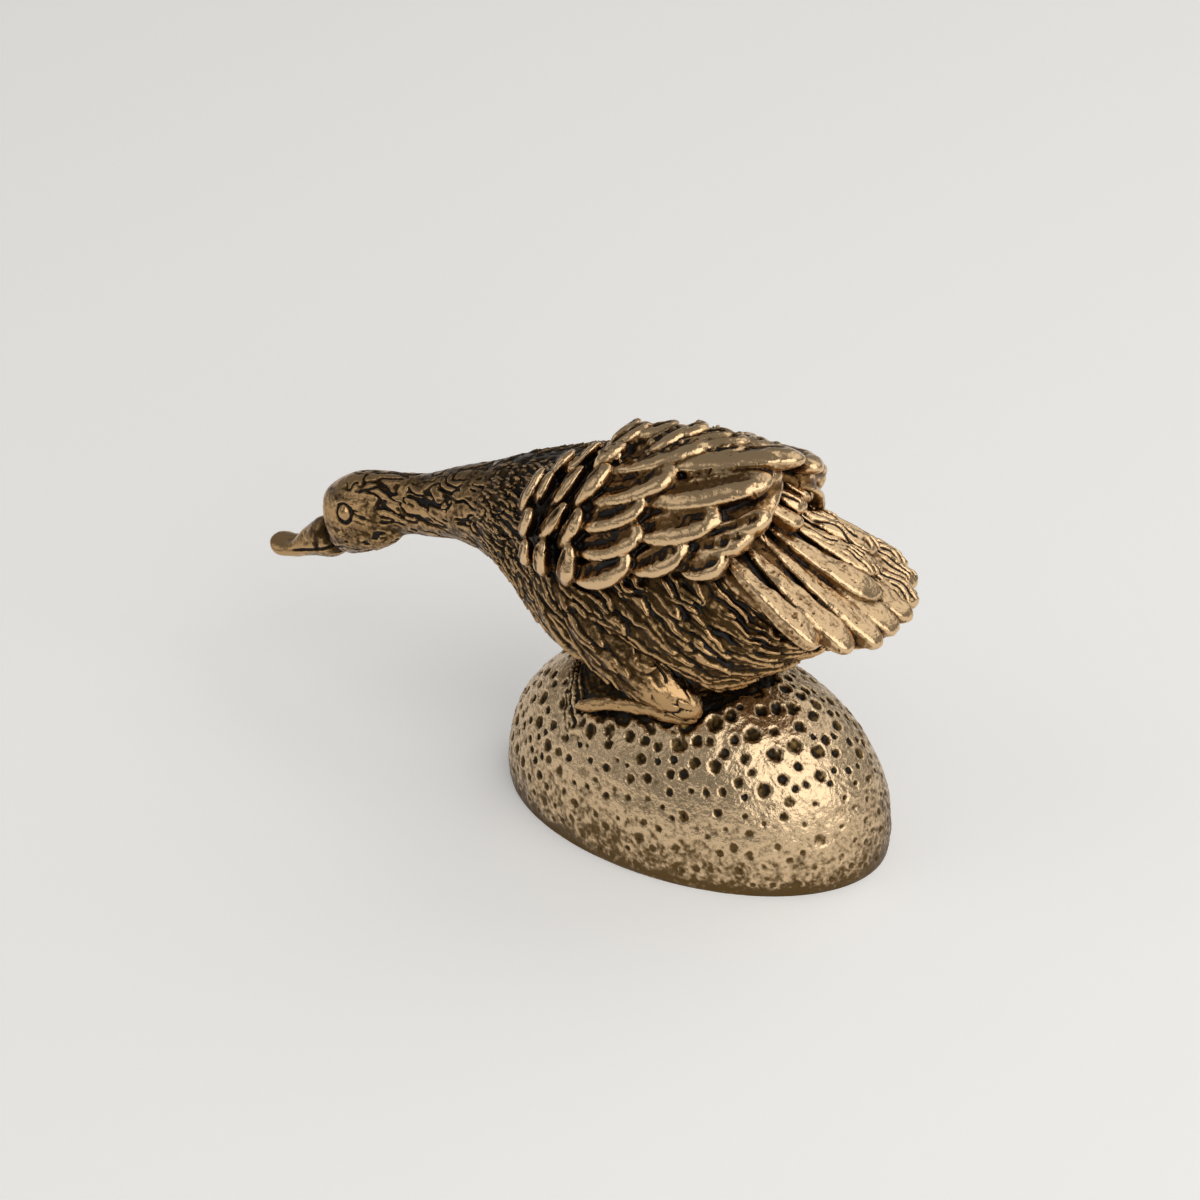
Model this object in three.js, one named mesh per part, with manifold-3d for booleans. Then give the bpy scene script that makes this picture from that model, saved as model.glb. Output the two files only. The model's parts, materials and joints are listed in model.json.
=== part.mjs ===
// Brass goose crouching on a hammered brass egg: a small free-standing ornament.
// Millimetres, +Z up. The goose looks along -X and its left side faces -Y.
// The origin is the centre of the egg's flat foot.
import * as THREE from 'three';
import { mergeVertices } from 'three/addons/utils/BufferGeometryUtils.js';
import Module from 'manifold-3d';

const wasm = await Module();
wasm.setup();

// Egg that the goose crouches on
const eggLength = 32.5;
const eggWidth = 21;
const eggHeight = 14.6;
const eggWaistHeight = 1.7;
const eggTaperShare = 0.01;

// Goose's body, from the collar back to the vent
const bodyLength = 26.8;
const bodyHeight = 18;
const bodyWidth = 16.6;
const bodyForward = 14.5;
const bodySeatHeight = 6.8;
const bodySag = 0.9;

// Neck, head and bill
const neckLength = 13.1;
const neckHeight = 5.2;
const neckWidth = 4.3;
const neckDrop = 2.7;
const headLength = 6.8;
const headHeight = 6.4;
const headWidth = 5.3;
const headDrop = 3.6;
const cheekLength = 5.4;
const cheekHeight = 3.8;
const billLength = 8.6;
const billHeight = 3.6;
const billWidth = 3.4;
const billDrop = 3.2;
const eyeDiameter = 1.1;

// Folded wings: how much they add to the body's height and width. The left one lies over the
// ridge of the back, the right one a little lower.
const wingsOverBack = 5.4;
const wingsOverFlanks = 2.4;
const wingRise = 1.5;
const wingOverlap = 1.5;
const rightWingDrop = 1.2;
const wingPadThickness = 4;
const wingPadSink = 1.2;
const longFeatherWidth = 2.3;
const longFeatherThickness = 1.5;
const covertWidth = 1.5;
const covertThickness = 1.5;
const scapularWidth = 1.2;
const scapularThickness = 1.3;

// Tail, and the rump tufts that lie on its root
const tailLength = 13.4;
const tailWidth = 15;
const tailThickness = 1.3;
const tailDroop = THREE.MathUtils.degToRad(32);
const tailCrown = 0.2;
const tailFeatherCount = 8;
const tailRootLift = 0.6;
const tailRootHeight = 4.6;
const tailRootDepth = 2.3;
const tailCovertWidth = 3;
const tailCovertRise = 0.5;
const rumpTuftLength = 4.4;
const rumpTuftWidth = 1.6;
const rumpTuftThickness = 1.8;
const rumpTuftDroop = THREE.MathUtils.degToRad(14);

// Legs
const thighWidth = 8;
const thighThickness = 3.6;
const footLength = 10.5;
const footWidth = 2.2;
const footHeight = 2.4;
const hockDiameter = 3;

// Locating dowels hidden in the joints, and the clearance left everywhere between pieces
const clearance = 0.3;
const neckDowelDiameter = 2.4;
const neckDowelLength = 8;
const wingDowelDiameter = 1.6;
const wingDowelLength = 5;
const wingDowelReach = 1.2;
const rightWingDowelReach = 0.6;
const tailDowelDiameter = 1.2;
const tailDowelLength = 5;
const tailDowelCover = 1;
const bellyDowelDiameter = 3;
const bellyDowelLength = 9;
const legDowelDiameter = 1;
const legDowelLength = 3.2;

// Facets of the round forms
const formSides = 24;
const formSteps = 32;
const billSides = 12;
const billSteps = 12;
const eggSides = 36;
const eggSteps = 24;
const padSides = 14;
const padSteps = 14;
const featherSides = 8;
const featherSteps = 6;
const tuftSides = 6;
const tuftSteps = 5;
const eyeSides = 8;
const eyeSteps = 7;
const cheekSides = 12;
const cheekSteps = 11;
const dowelSides = 12;

// Rows from the forehead to the nape: place along the head, rise, half height and half width
const headRowShares = [
  [0, 0, 0, 0],
  [0.18, 0.08, 0.9, 0.84],
  [0.53, 0.59, 1, 0.96],
];

// Rows from the nape to the collar, the last three columns growing towards the breast
const neckRowShares = [
  [0, 0, 1, 1],
  [0.24, 0.31, 1, 1.03],
  [0.49, 0.71, 1.21, 1.28],
  [0.75, 0.91, 1.59, 1.73],
];

// Evenly spaced rows from the collar to the vent: sag, half height and half width
const bodyRowShares = [
  [0, 0.636, 0.627],
  [0.33, 0.867, 0.855],
  [1, 0.956, 0.964],
  [0.67, 1, 1],
  [0.33, 0.978, 1],
  [0.11, 0.844, 0.928],
  [0.33, 0.489, 0.675],
  [0.22, 0, 0],
];

// The same rows round the folded wings: rise, half height and half width
const wingRowShares = [
  [0, 0.538, 0.628],
  [-0.2, 0.709, 0.851],
  [-0.4, 0.889, 0.947],
  [-0.2, 0.957, 0.989],
  [0, 1, 1],
  [0.33, 0.966, 0.957],
  [0.67, 0.932, 0.83],
  [1, 0.855, 0.638],
];

// Cheek: how wide it is against the head and how far it hangs below the brow
const cheekWidthShare = 0.875;
const cheekDropShare = 0.06;

// Eye: how far it lies round from the crown
const eyeTurnShare = 0.42;

// Bill: how deep its root is set into the face, and how far below the brow
const billSetShare = 0.25;
const billBrowShare = 0.125;

// Bill: place along it, drop, half height and half width
const billRowShares = [
  [0, 0, 0, 0],
  [0.16, 0.2, 1, 0.95],
  [0.4, 0.5, 0.78, 0.9],
  [0.62, 0.8, 0.46, 0.88],
  [0.84, 1, 0.32, 0.86],
  [1, 0.95, 0, 0],
];

// Swelling of a feather and of a thigh along their length
const featherSwellShares = [0, 0.78, 0.94, 1, 0.98, 0.82, 0];
const padSwellShares = [0, 0.9, 1, 1, 1, 0.86, 0];
const thighSwellShares = [0, 0.85, 1, 0.98, 0.84, 0.62, 0];

// Feathers on the wing: root and tip, each as a share along the body and round it from the ridge,
// then the lift of the tip as a share of the feather's thickness
const longFeatherShares = [
  [0.5, 0.4, 0.7, 0.32, 0],
  [0.51, 0.32, 0.77, 0.25, 0],
  [0.57, 0.22, 0.86, 0.13, 0.05],
  [0.58, 0.13, 0.9, 0, 0.1],
  [0.35, 0.43, 0.51, 0.37, 0.35],
  [0.36, 0.37, 0.54, 0.31, 0.35],
  [0.36, 0.3, 0.54, 0.245, 0.35],
  [0.38, 0.23, 0.6, 0.165, 0.35],
  [0.4, 0.16, 0.66, 0.06, 0.4],
];
const covertShares = [
  [0.68, 0.36, 0.81, 0.32, 0.1],
  [0.74, 0.3, 0.87, 0.27, 0.1],
  [0.76, 0.26, 0.88, 0.22, 0.1],
  [0.29, 0.44, 0.33, 0.35, 0.4],
  [0.28, 0.35, 0.34, 0.26, 0.4],
  [0.31, 0.27, 0.38, 0.17, 0.4],
  [0.3, 0.18, 0.4, 0.11, 0.4],
  [0.2, 0.44, 0.2, 0.35, 0.3],
  [0.19, 0.34, 0.22, 0.26, 0.3],
  [0.2, 0.26, 0.19, 0.14, 0.3],
  [0.16, 0.16, 0.24, 0.08, 0.3],
  [0.12, 0.37, 0.1, 0.28, 0.15],
  [0.1, 0.28, 0.09, 0.16, 0.15],
];
const scapularShares = [
  [0.24, 0.07, 0.38, 0.01, 0.5],
  [0.32, 0.08, 0.43, 0, 0.5],
  [0.44, 0.09, 0.54, 0, 0.6],
  [0.53, 0.06, 0.74, -0.01, 0.3],
];

// How far the right wing's feathers start down the flank, and the lowest feather on either wing
const rightWingTurnShare = 0.12;
const lowestFeatherShare = 0.45;

// Tail: its left and right edges, at the root as shares of the body's width, at the tips of its own
const tailRootEdgeShares = [-0.405, 0.255];
const tailTipEdgeShares = [-0.44, 0.48];

// Tail: how much the outer feathers fall short, where the longest ones lie, and a feather's girth
const tailArcShare = 1.04;
const tailCentreShare = 0.1;
const tailFeatherShare = 1.25;

// Tail's thick root: half its length and half its width
const tailRootLengthShare = 0.44;
const tailRootWidthShare = 0.36;

// Coverts on the tail: place of the root and of the tip across it, then the length
const tailCovertShares = [
  [0.03, 0.11, 0.78],
  [0.14, 0.28, 0.66],
];

// Rump tufts: place across the root of the tail
const rumpTuftShares = [-0.07, 0.06, 0.19];

// Thigh and hock on the body, along it and round it from the ridge
const thighRootShares = [0.27, 0.58];
const hockShares = [0.6, 0.8];
const thighLiftShare = 0.42;

// Foot: how far the toes splay, how far the heel stands behind the hock and how high it is raised
const toeSplayShare = 0.25;
const heelShare = 0.25;
const footRaiseShare = 0.4;

// Pad of the folded wing: its width as a share of the body's height and width together, and its
// place from its root at the shoulder to its tip
const wingPadWidthShare = 0.42;
const wingPadShares = [0.01, 0.27, 0.87, 0.12];

// Places of the dowels along the body and round it
const wingDowelShares = [0.45, 0.2];
const tailRootShare = 0.74;
const tailDowelShare = 0.44;
const bellyDowelShare = 0.55;

const UP = new THREE.Vector3(0, 0, 1);
const LEFT = new THREE.Vector3(0, -1, 0);
const probeShare = 0.001;

const overrun = bodyLength + neckLength + headLength + billLength;
const collarHeight = eggHeight + bodySeatHeight;
const collarX = -bodyForward;

// A closed mesh as a solid that can be cut and joined
function solidOf(geometry) {
  const bare = geometry.index ? geometry.clone() : geometry;
  bare.deleteAttribute('normal');
  bare.deleteAttribute('uv');
  const merged = mergeVertices(bare);
  return new wasm.Manifold(new wasm.Mesh({
    numProp: 3,
    vertProperties: new Float32Array(merged.attributes.position.array),
    triVerts: new Uint32Array(merged.index.array),
  }));
}

// A named mesh of its own from a solid and a finish
function pieceOf(name, solid, material) {
  const mesh = solid.getMesh();
  const geometry = new THREE.BufferGeometry();
  geometry.setAttribute('position', new THREE.BufferAttribute(new Float32Array(mesh.vertProperties), 3));
  geometry.setIndex(new THREE.BufferAttribute(new Uint32Array(mesh.triVerts), 1));
  geometry.computeVertexNormals();
  const piece = new THREE.Mesh(geometry, material);
  piece.name = name;
  return piece;
}

// A ball whose every point is put in place by its share along and its turn round the form.
// The rings lie closer together towards both ends, so the ends come out round.
function ballThrough(sides, steps, pointAt) {
  const ball = new THREE.SphereGeometry(1, sides, steps);
  const { position, uv } = ball.attributes;
  for (let i = 0; i < position.count; i += 1) {
    const share = THREE.MathUtils.smoothstep(1 - uv.getY(i), 0, 1);
    const turn = Math.PI * (1 - uv.getX(i) - uv.getX(i));
    const point = pointAt(share, turn);
    position.setXYZ(i, point.x, point.y, point.z);
  }
  return solidOf(ball);
}

function smoothLine(points) {
  return new THREE.CatmullRomCurve3(points, false, 'catmullrom');
}

// An oval form along a line in the middle plane, from rows of x, z, half height and half width
function ovalForm(rows) {
  return {
    spine: smoothLine(rows.map(([x, z]) => new THREE.Vector3(x, 0, z))),
    girth: smoothLine(rows.map(([, , high, wide]) => new THREE.Vector3(high * high, wide * wide, 0))),
  };
}

// A point over the form's skin, its turn measured from the ridge towards the left side
function skinPoint(form, along, turn, lift) {
  const share = THREE.MathUtils.clamp(along, 0, 1);
  const ahead = form.spine.getTangent(share);
  const up = new THREE.Vector3(-ahead.z, 0, ahead.x);
  const girth = form.girth.getPoint(share);
  const high = Math.sqrt(Math.max(girth.x, 0)) + lift;
  const wide = Math.sqrt(Math.max(girth.y, 0)) + lift;
  const point = form.spine.getPoint(share);
  point.addScaledVector(up, high * Math.cos(turn));
  point.addScaledVector(LEFT, wide * Math.sin(turn));
  return point;
}

function formSolid(form, sides, steps, grow) {
  return ballThrough(sides, steps, (share, turn) => {
    if (share === 0 || share === 1) {
      const end = form.spine.getPoint(share);
      return end.addScaledVector(form.spine.getTangent(share), share === 0 ? -grow : grow);
    }
    return skinPoint(form, share, turn, grow);
  });
}

// How far a row of swelling shares stands out at a share of its length
function swellAt(line, share) {
  return Math.sqrt(Math.max(line.getPoint(share).x, 0));
}

function swellLine(shares) {
  return smoothLine(shares.map((share) => new THREE.Vector3(share * share, 0, 0)));
}

const featherSwell = swellLine(featherSwellShares);
const padSwell = swellLine(padSwellShares);
const thighSwell = swellLine(thighSwellShares);

// A rounded lobe that lies on a form's skin, from its root to its tip, and bends with the skin
function skinLobe(form, rootAndTip, size) {
  const [rootAlong, rootRound, tipAlong, tipRound] = rootAndTip;
  return ballThrough(size.sides, size.steps, (share, turn) => {
    const along = THREE.MathUtils.lerp(rootAlong, tipAlong, share);
    const round = Math.PI * THREE.MathUtils.lerp(rootRound, tipRound, share);
    const lift = THREE.MathUtils.lerp(size.rootLift, size.tipLift, share);
    const lengthwise = skinPoint(form, along + probeShare, round, lift)
      .sub(skinPoint(form, along - probeShare, round, lift))
      .divideScalar(probeShare + probeShare);
    const roundwise = skinPoint(form, along, round + probeShare, lift)
      .sub(skinPoint(form, along, round - probeShare, lift))
      .divideScalar(probeShare + probeShare);
    const heading = lengthwise.clone().multiplyScalar(tipAlong - rootAlong);
    heading.addScaledVector(roundwise, Math.PI * (tipRound - rootRound)).normalize();
    const outward = roundwise.clone().cross(lengthwise).normalize();
    const sideways = heading.cross(outward);
    const swell = swellAt(size.swell, share);
    const side = swell * size.halfWidth * Math.sin(turn);
    const rise = swell * size.halfThickness * Math.cos(turn);
    const alongShift = side * sideways.dot(lengthwise) / lengthwise.lengthSq();
    const roundShift = side * sideways.dot(roundwise) / roundwise.lengthSq();
    return skinPoint(form, along + alongShift, round + roundShift, lift + rise);
  });
}

// A straight lobe laid along +X from its root, in a frame of its own, grown all round where asked
function straightLobe(length, halfWidth, halfThickness, grow) {
  return ballThrough(featherSides, featherSteps, (share, turn) => {
    const swell = swellAt(featherSwell, share);
    const edge = swell > 0 ? grow : 0;
    return new THREE.Vector3(
      length * share + grow * (share + share - 1),
      -(halfWidth * swell + edge) * Math.sin(turn),
      (halfThickness * swell + edge) * Math.cos(turn),
    );
  });
}

function placed(solid, matrix) {
  return solid.transform(matrix.elements);
}

function joined(solids) {
  return solids.reduce((whole, solid) => whole.add(solid));
}

function mirroredAcross(solid) {
  return solid.mirror([0, 1, 0]);
}

// A block far larger than the part, with its rear, front, top or side face on a given plane
function halfSpace(outward, distance) {
  const block = new THREE.BoxGeometry(overrun + overrun, overrun + overrun, overrun + overrun);
  block.translate(
    outward.x * (overrun + distance),
    outward.y * (overrun + distance),
    outward.z * (overrun + distance),
  );
  return solidOf(block);
}

// A dowel or, grown by the clearance, the socket that takes it
function dowelSolid(dowel, grow) {
  const length = dowel.length + grow + grow;
  const radius = dowel.diameter / 2 + grow;
  const rod = new THREE.CylinderGeometry(radius, radius, length, dowelSides);
  rod.applyQuaternion(new THREE.Quaternion().setFromUnitVectors(new THREE.Vector3(0, 1, 0), dowel.heading));
  rod.translate(dowel.middle.x, dowel.middle.y, dowel.middle.z);
  return solidOf(rod);
}

function mirroredDowel(dowel) {
  const flip = new THREE.Vector3(1, -1, 1);
  return {
    ...dowel,
    middle: dowel.middle.clone().multiply(flip),
    heading: dowel.heading.clone().multiply(flip),
  };
}

// Rows of the goose's body, or of the wings round it, from the collar to the vent
function bodyRows(rowShares, climb, height, width) {
  return rowShares.map(([rise, high, wide], i) => [
    collarX + bodyLength * i / (rowShares.length - 1),
    collarHeight + climb * rise,
    height / 2 * high,
    width / 2 * wide,
  ]);
}

const napeX = collarX - neckLength;
const napeHeight = collarHeight - neckDrop;
const foreheadX = napeX - headLength;
const foreheadHeight = napeHeight - headDrop;

const headRows = headRowShares.map(([along, rise, high, wide]) => [
  foreheadX + headLength * along,
  foreheadHeight + headDrop * rise,
  headHeight / 2 * high,
  headWidth / 2 * wide,
]);
const neckRows = neckRowShares.map(([along, rise, high, wide]) => [
  napeX + neckLength * along,
  napeHeight + neckDrop * rise,
  neckHeight / 2 * high,
  neckWidth / 2 * wide,
]);

const trunkRows = bodyRows(bodyRowShares, -bodySag, bodyHeight, bodyWidth);
const bodyForm = ovalForm(trunkRows);
const gooseForm = ovalForm([...headRows, ...neckRows, ...trunkRows]);

// Egg: an ovoid, blunter under the breast, standing on a flat cut
function eggForm(grow) {
  const halfLength = eggLength / 2 + grow;
  const halfWidth = eggWidth / 2 + grow;
  const halfHeight = eggHeight - eggWaistHeight + grow;
  const egg = ballThrough(eggSides, eggSteps, (share, turn) => {
    const polar = Math.PI * share;
    const taper = 1 + eggTaperShare * Math.cos(polar);
    return new THREE.Vector3(
      -halfLength * Math.cos(polar),
      -halfWidth * taper * Math.sin(polar) * Math.sin(turn),
      eggWaistHeight + halfHeight * taper * Math.sin(polar) * Math.cos(turn),
    );
  });
  return egg.subtract(halfSpace(UP.clone().negate(), grow));
}

// Bill: a spoon-shaped lobe that leaves the face under the forehead and dips forward
function billSolid() {
  const rootX = foreheadX + billLength * billSetShare;
  const rootHeight = foreheadHeight - headHeight * billBrowShare;
  const bill = ovalForm(billRowShares.map(([along, drop, high, wide]) => [
    rootX - billLength * along,
    rootHeight - billDrop * drop,
    billHeight / 2 * high,
    billWidth / 2 * wide,
  ]).reverse());
  return formSolid(bill, billSides, billSteps, 0);
}

// Cheeks under the eyes, and the two eye beads
function cheekSolid() {
  const cheek = new THREE.SphereGeometry(1, cheekSides, cheekSteps);
  cheek.scale(cheekLength / 2, headWidth / 2 * cheekWidthShare, cheekHeight / 2);
  cheek.translate(foreheadX + cheekLength / 2, 0, foreheadHeight - cheekHeight * cheekDropShare);
  return solidOf(cheek);
}

function eyeSolid() {
  const eye = new THREE.SphereGeometry(eyeDiameter / 2, eyeSides, eyeSteps);
  const rowCount = headRows.length + neckRows.length + trunkRows.length;
  const along = (headRows.length - 1) / (rowCount - 1);
  const skin = skinPoint(gooseForm, along, Math.PI * eyeTurnShare, 0);
  eye.translate(skin.x, skin.y, skin.z);
  return solidOf(eye);
}

// Place of a feather from its root to its tip, on a wing whose feathers start further down the flank
function turnedDown([rootAlong, rootRound, tipAlong, tipRound], turnShare) {
  const squeeze = 1 - turnShare / lowestFeatherShare;
  return [rootAlong, turnShare + squeeze * rootRound, tipAlong, turnShare + squeeze * tipRound];
}

// Feathers of one table laid over the wing
function feathersOn(form, table, turnShare, size) {
  return table.map((row) => {
    const lift = row[row.length - 1];
    return skinLobe(form, turnedDown(row, turnShare), {
      ...size,
      swell: featherSwell,
      rootLift: -size.halfThickness / 2,
      tipLift: size.halfThickness * (lift + lift),
    });
  });
}

// One folded wing, as a left one: a pad that follows the flank, and the feathers laid over it
function wingMass(drop, turnShare) {
  const rows = bodyRows(wingRowShares, wingRise, bodyHeight + wingsOverBack, bodyWidth + wingsOverFlanks);
  const form = ovalForm(rows.map(([x, z, high, wide]) => [x, z - drop, high, wide]));
  const pad = skinLobe(form, turnedDown(wingPadShares, turnShare), {
    sides: padSides,
    steps: padSteps,
    swell: padSwell,
    halfWidth: (bodyHeight + bodyWidth) * wingPadWidthShare / 2,
    halfThickness: wingPadThickness / 2,
    rootLift: -wingPadSink,
    tipLift: -wingPadSink,
  });
  const long = {
    sides: featherSides,
    steps: featherSteps,
    halfWidth: longFeatherWidth / 2,
    halfThickness: longFeatherThickness / 2,
  };
  const covert = {
    sides: tuftSides,
    steps: tuftSteps,
    halfWidth: covertWidth / 2,
    halfThickness: covertThickness / 2,
  };
  const scapular = {
    sides: tuftSides,
    steps: tuftSteps,
    halfWidth: scapularWidth / 2,
    halfThickness: scapularThickness / 2,
  };
  return joined([
    pad,
    ...feathersOn(form, longFeatherShares, turnShare, long),
    ...feathersOn(form, covertShares, turnShare, covert),
    ...feathersOn(form, scapularShares, turnShare, scapular),
  ]);
}

// Frame of the tail: it leaves the rump and droops backwards
function tailFrame() {
  const root = skinPoint(bodyForm, tailRootShare, 0, tailRootLift);
  const frame = new THREE.Matrix4().makeRotationY(tailDroop);
  return frame.setPosition(root);
}

// A feather of the tail from its root to its tip across it, laid on or above the tail's upper face
function tailFeather(rootAcross, tipAcross, length, halfWidth, rise, grow) {
  const drop = tailCrown * (tipAcross / (tailWidth / 2)) ** 2;
  const shape = straightLobe(length, halfWidth, tailThickness / 2, grow);
  const splay = Math.atan2(tipAcross - rootAcross, length);
  const place = new THREE.Matrix4().makeRotationZ(splay);
  place.setPosition(0, rootAcross, rise - drop - tailThickness / 2);
  return placed(shape, tailFrame().multiply(place));
}

// A tuft on the root of the tail, which stands up from it a little
function rumpTuft(across, grow) {
  const shape = straightLobe(rumpTuftLength, rumpTuftWidth / 2, rumpTuftThickness / 2, grow);
  const place = new THREE.Matrix4().makeTranslation(0, across, 0);
  const lift = new THREE.Matrix4().makeRotationY(rumpTuftDroop - tailDroop);
  return placed(shape, tailFrame().multiply(place).multiply(lift));
}

// Tail: feathers whose tips lie on an arc, coverts over them and a thick root under them
function tailMass(grow) {
  const [rootLeft, rootRight] = tailRootEdgeShares;
  const [tipLeft, tipRight] = tailTipEdgeShares;
  const halfWidth = tailWidth * (tipRight - tipLeft) / (tailFeatherCount - 1) / 2 * tailFeatherShare;
  const solids = [];
  for (let i = 0; i < tailFeatherCount; i += 1) {
    const share = i / (tailFeatherCount - 1);
    const root = THREE.MathUtils.lerp(rootLeft, rootRight, share);
    const tip = THREE.MathUtils.lerp(tipLeft, tipRight, share);
    const length = tailLength * (1 - tailArcShare * (tip - tailCentreShare) ** 2);
    solids.push(tailFeather(bodyWidth * root, tailWidth * tip, length, halfWidth, 0, grow));
  }
  for (const [root, tip, lengthShare] of tailCovertShares) {
    const length = tailLength * lengthShare;
    const girth = tailCovertWidth / 2;
    solids.push(tailFeather(bodyWidth * root, tailWidth * tip, length, girth, tailCovertRise, grow));
  }
  for (const across of rumpTuftShares) {
    solids.push(rumpTuft(bodyWidth * across, grow));
  }
  const block = new THREE.SphereGeometry(1, padSides, featherSides);
  block.scale(
    tailLength * tailRootLengthShare + grow,
    bodyWidth * tailRootWidthShare + grow,
    tailRootHeight / 2 + grow,
  );
  block.translate(tailLength / 4, bodyWidth * (rootLeft + rootRight) / 2, -tailRootDepth);
  block.applyMatrix4(tailFrame());
  return joined([solidOf(block), ...solids]);
}

// One leg: thigh laid against the flank, and a foot lying on the egg
function hockPoint() {
  const [along, round] = hockShares;
  return skinPoint(bodyForm, along, Math.PI * round, thighThickness * thighLiftShare);
}

function legMass(grow) {
  const thigh = skinLobe(bodyForm, [...thighRootShares, ...hockShares], {
    sides: padSides,
    steps: featherSides,
    swell: thighSwell,
    halfWidth: thighWidth / 2 + grow,
    halfThickness: thighThickness / 2 + grow,
    rootLift: 0,
    tipLift: thighThickness * thighLiftShare,
  });
  const hock = hockPoint();
  const foot = straightLobe(footLength, footWidth / 2, footHeight / 2, grow);
  const toe = hock.clone();
  toe.x -= footLength;
  toe.y -= footWidth * toeSplayShare;
  toe.z = footRest(toe);
  const heel = hock.clone();
  heel.x += footWidth * heelShare;
  heel.z = footRest(heel);
  const heading = toe.sub(heel).normalize();
  const turn = new THREE.Matrix4().makeBasis(heading, UP.clone().cross(heading).normalize(), UP);
  const knob = new THREE.SphereGeometry(hockDiameter / 2 + grow, padSides, featherSides);
  knob.translate(hock.x, hock.y, knobHeight(hock));
  return joined([thigh, placed(foot, turn.setPosition(heel)), solidOf(knob)]);
}

function knobHeight(hock) {
  return (hock.z + footRest(hock)) / 2;
}

// Height of the egg's surface under a point, raised so that a foot rests on it
function footRest(point) {
  const lengthShare = point.x / (eggLength / 2);
  const widthShare = point.y / (eggWidth / 2);
  const left = Math.max(1 - lengthShare ** 2 - widthShare ** 2, 0);
  return eggWaistHeight + (eggHeight - eggWaistHeight) * Math.sqrt(left) + footHeight * footRaiseShare;
}

const antiqueBrass = () => new THREE.MeshStandardMaterial({ color: '#8a6f42', roughness: 0.38, metalness: 1 });
const polishedBrass = () => new THREE.MeshStandardMaterial({ color: '#a88955', roughness: 0.3, metalness: 1 });
const hammeredBrass = () => new THREE.MeshStandardMaterial({ color: '#7f6a3f', roughness: 0.42, metalness: 1 });
const dowelBrass = () => new THREE.MeshStandardMaterial({ color: '#b5984f', roughness: 0.45, metalness: 1 });

// A dowel that stands square to the body's skin and reaches into the left wing
function wingDowel(reach) {
  const [along, round] = wingDowelShares;
  const skin = skinPoint(bodyForm, along, Math.PI * round, 0);
  const heading = skinPoint(bodyForm, along, Math.PI * round, clearance).sub(skin).normalize();
  return {
    middle: skin.addScaledVector(heading, reach - wingDowelLength / 2),
    heading,
    diameter: wingDowelDiameter,
    length: wingDowelLength,
  };
}

// Dowels: where each one lies and which way it runs
function dowels() {
  const tail = tailFrame();
  const tailMiddle = new THREE.Vector3(tailLength * tailDowelShare, 0, -tailDowelCover - tailDowelLength / 2);
  const belly = bodyForm.spine.getPoint(bellyDowelShare);
  const hock = hockPoint();
  return {
    neck_dowel: {
      middle: new THREE.Vector3(collarX, 0, collarHeight),
      heading: new THREE.Vector3(1, 0, 0),
      diameter: neckDowelDiameter,
      length: neckDowelLength,
    },
    left_wing_dowel: wingDowel(wingDowelReach),
    right_wing_dowel: mirroredDowel(wingDowel(rightWingDowelReach)),
    tail_dowel: {
      middle: tailMiddle.applyMatrix4(tail),
      heading: UP.clone().transformDirection(tail),
      diameter: tailDowelDiameter,
      length: tailDowelLength,
    },
    belly_dowel: {
      middle: new THREE.Vector3(belly.x, 0, eggHeight),
      heading: UP.clone(),
      diameter: bellyDowelDiameter,
      length: bellyDowelLength,
    },
    left_leg_dowel: {
      middle: new THREE.Vector3(hock.x, hock.y, knobHeight(hock) + (legDowelDiameter - legDowelLength) / 2),
      heading: UP.clone(),
      diameter: legDowelDiameter,
      length: legDowelLength,
    },
  };
}

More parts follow.
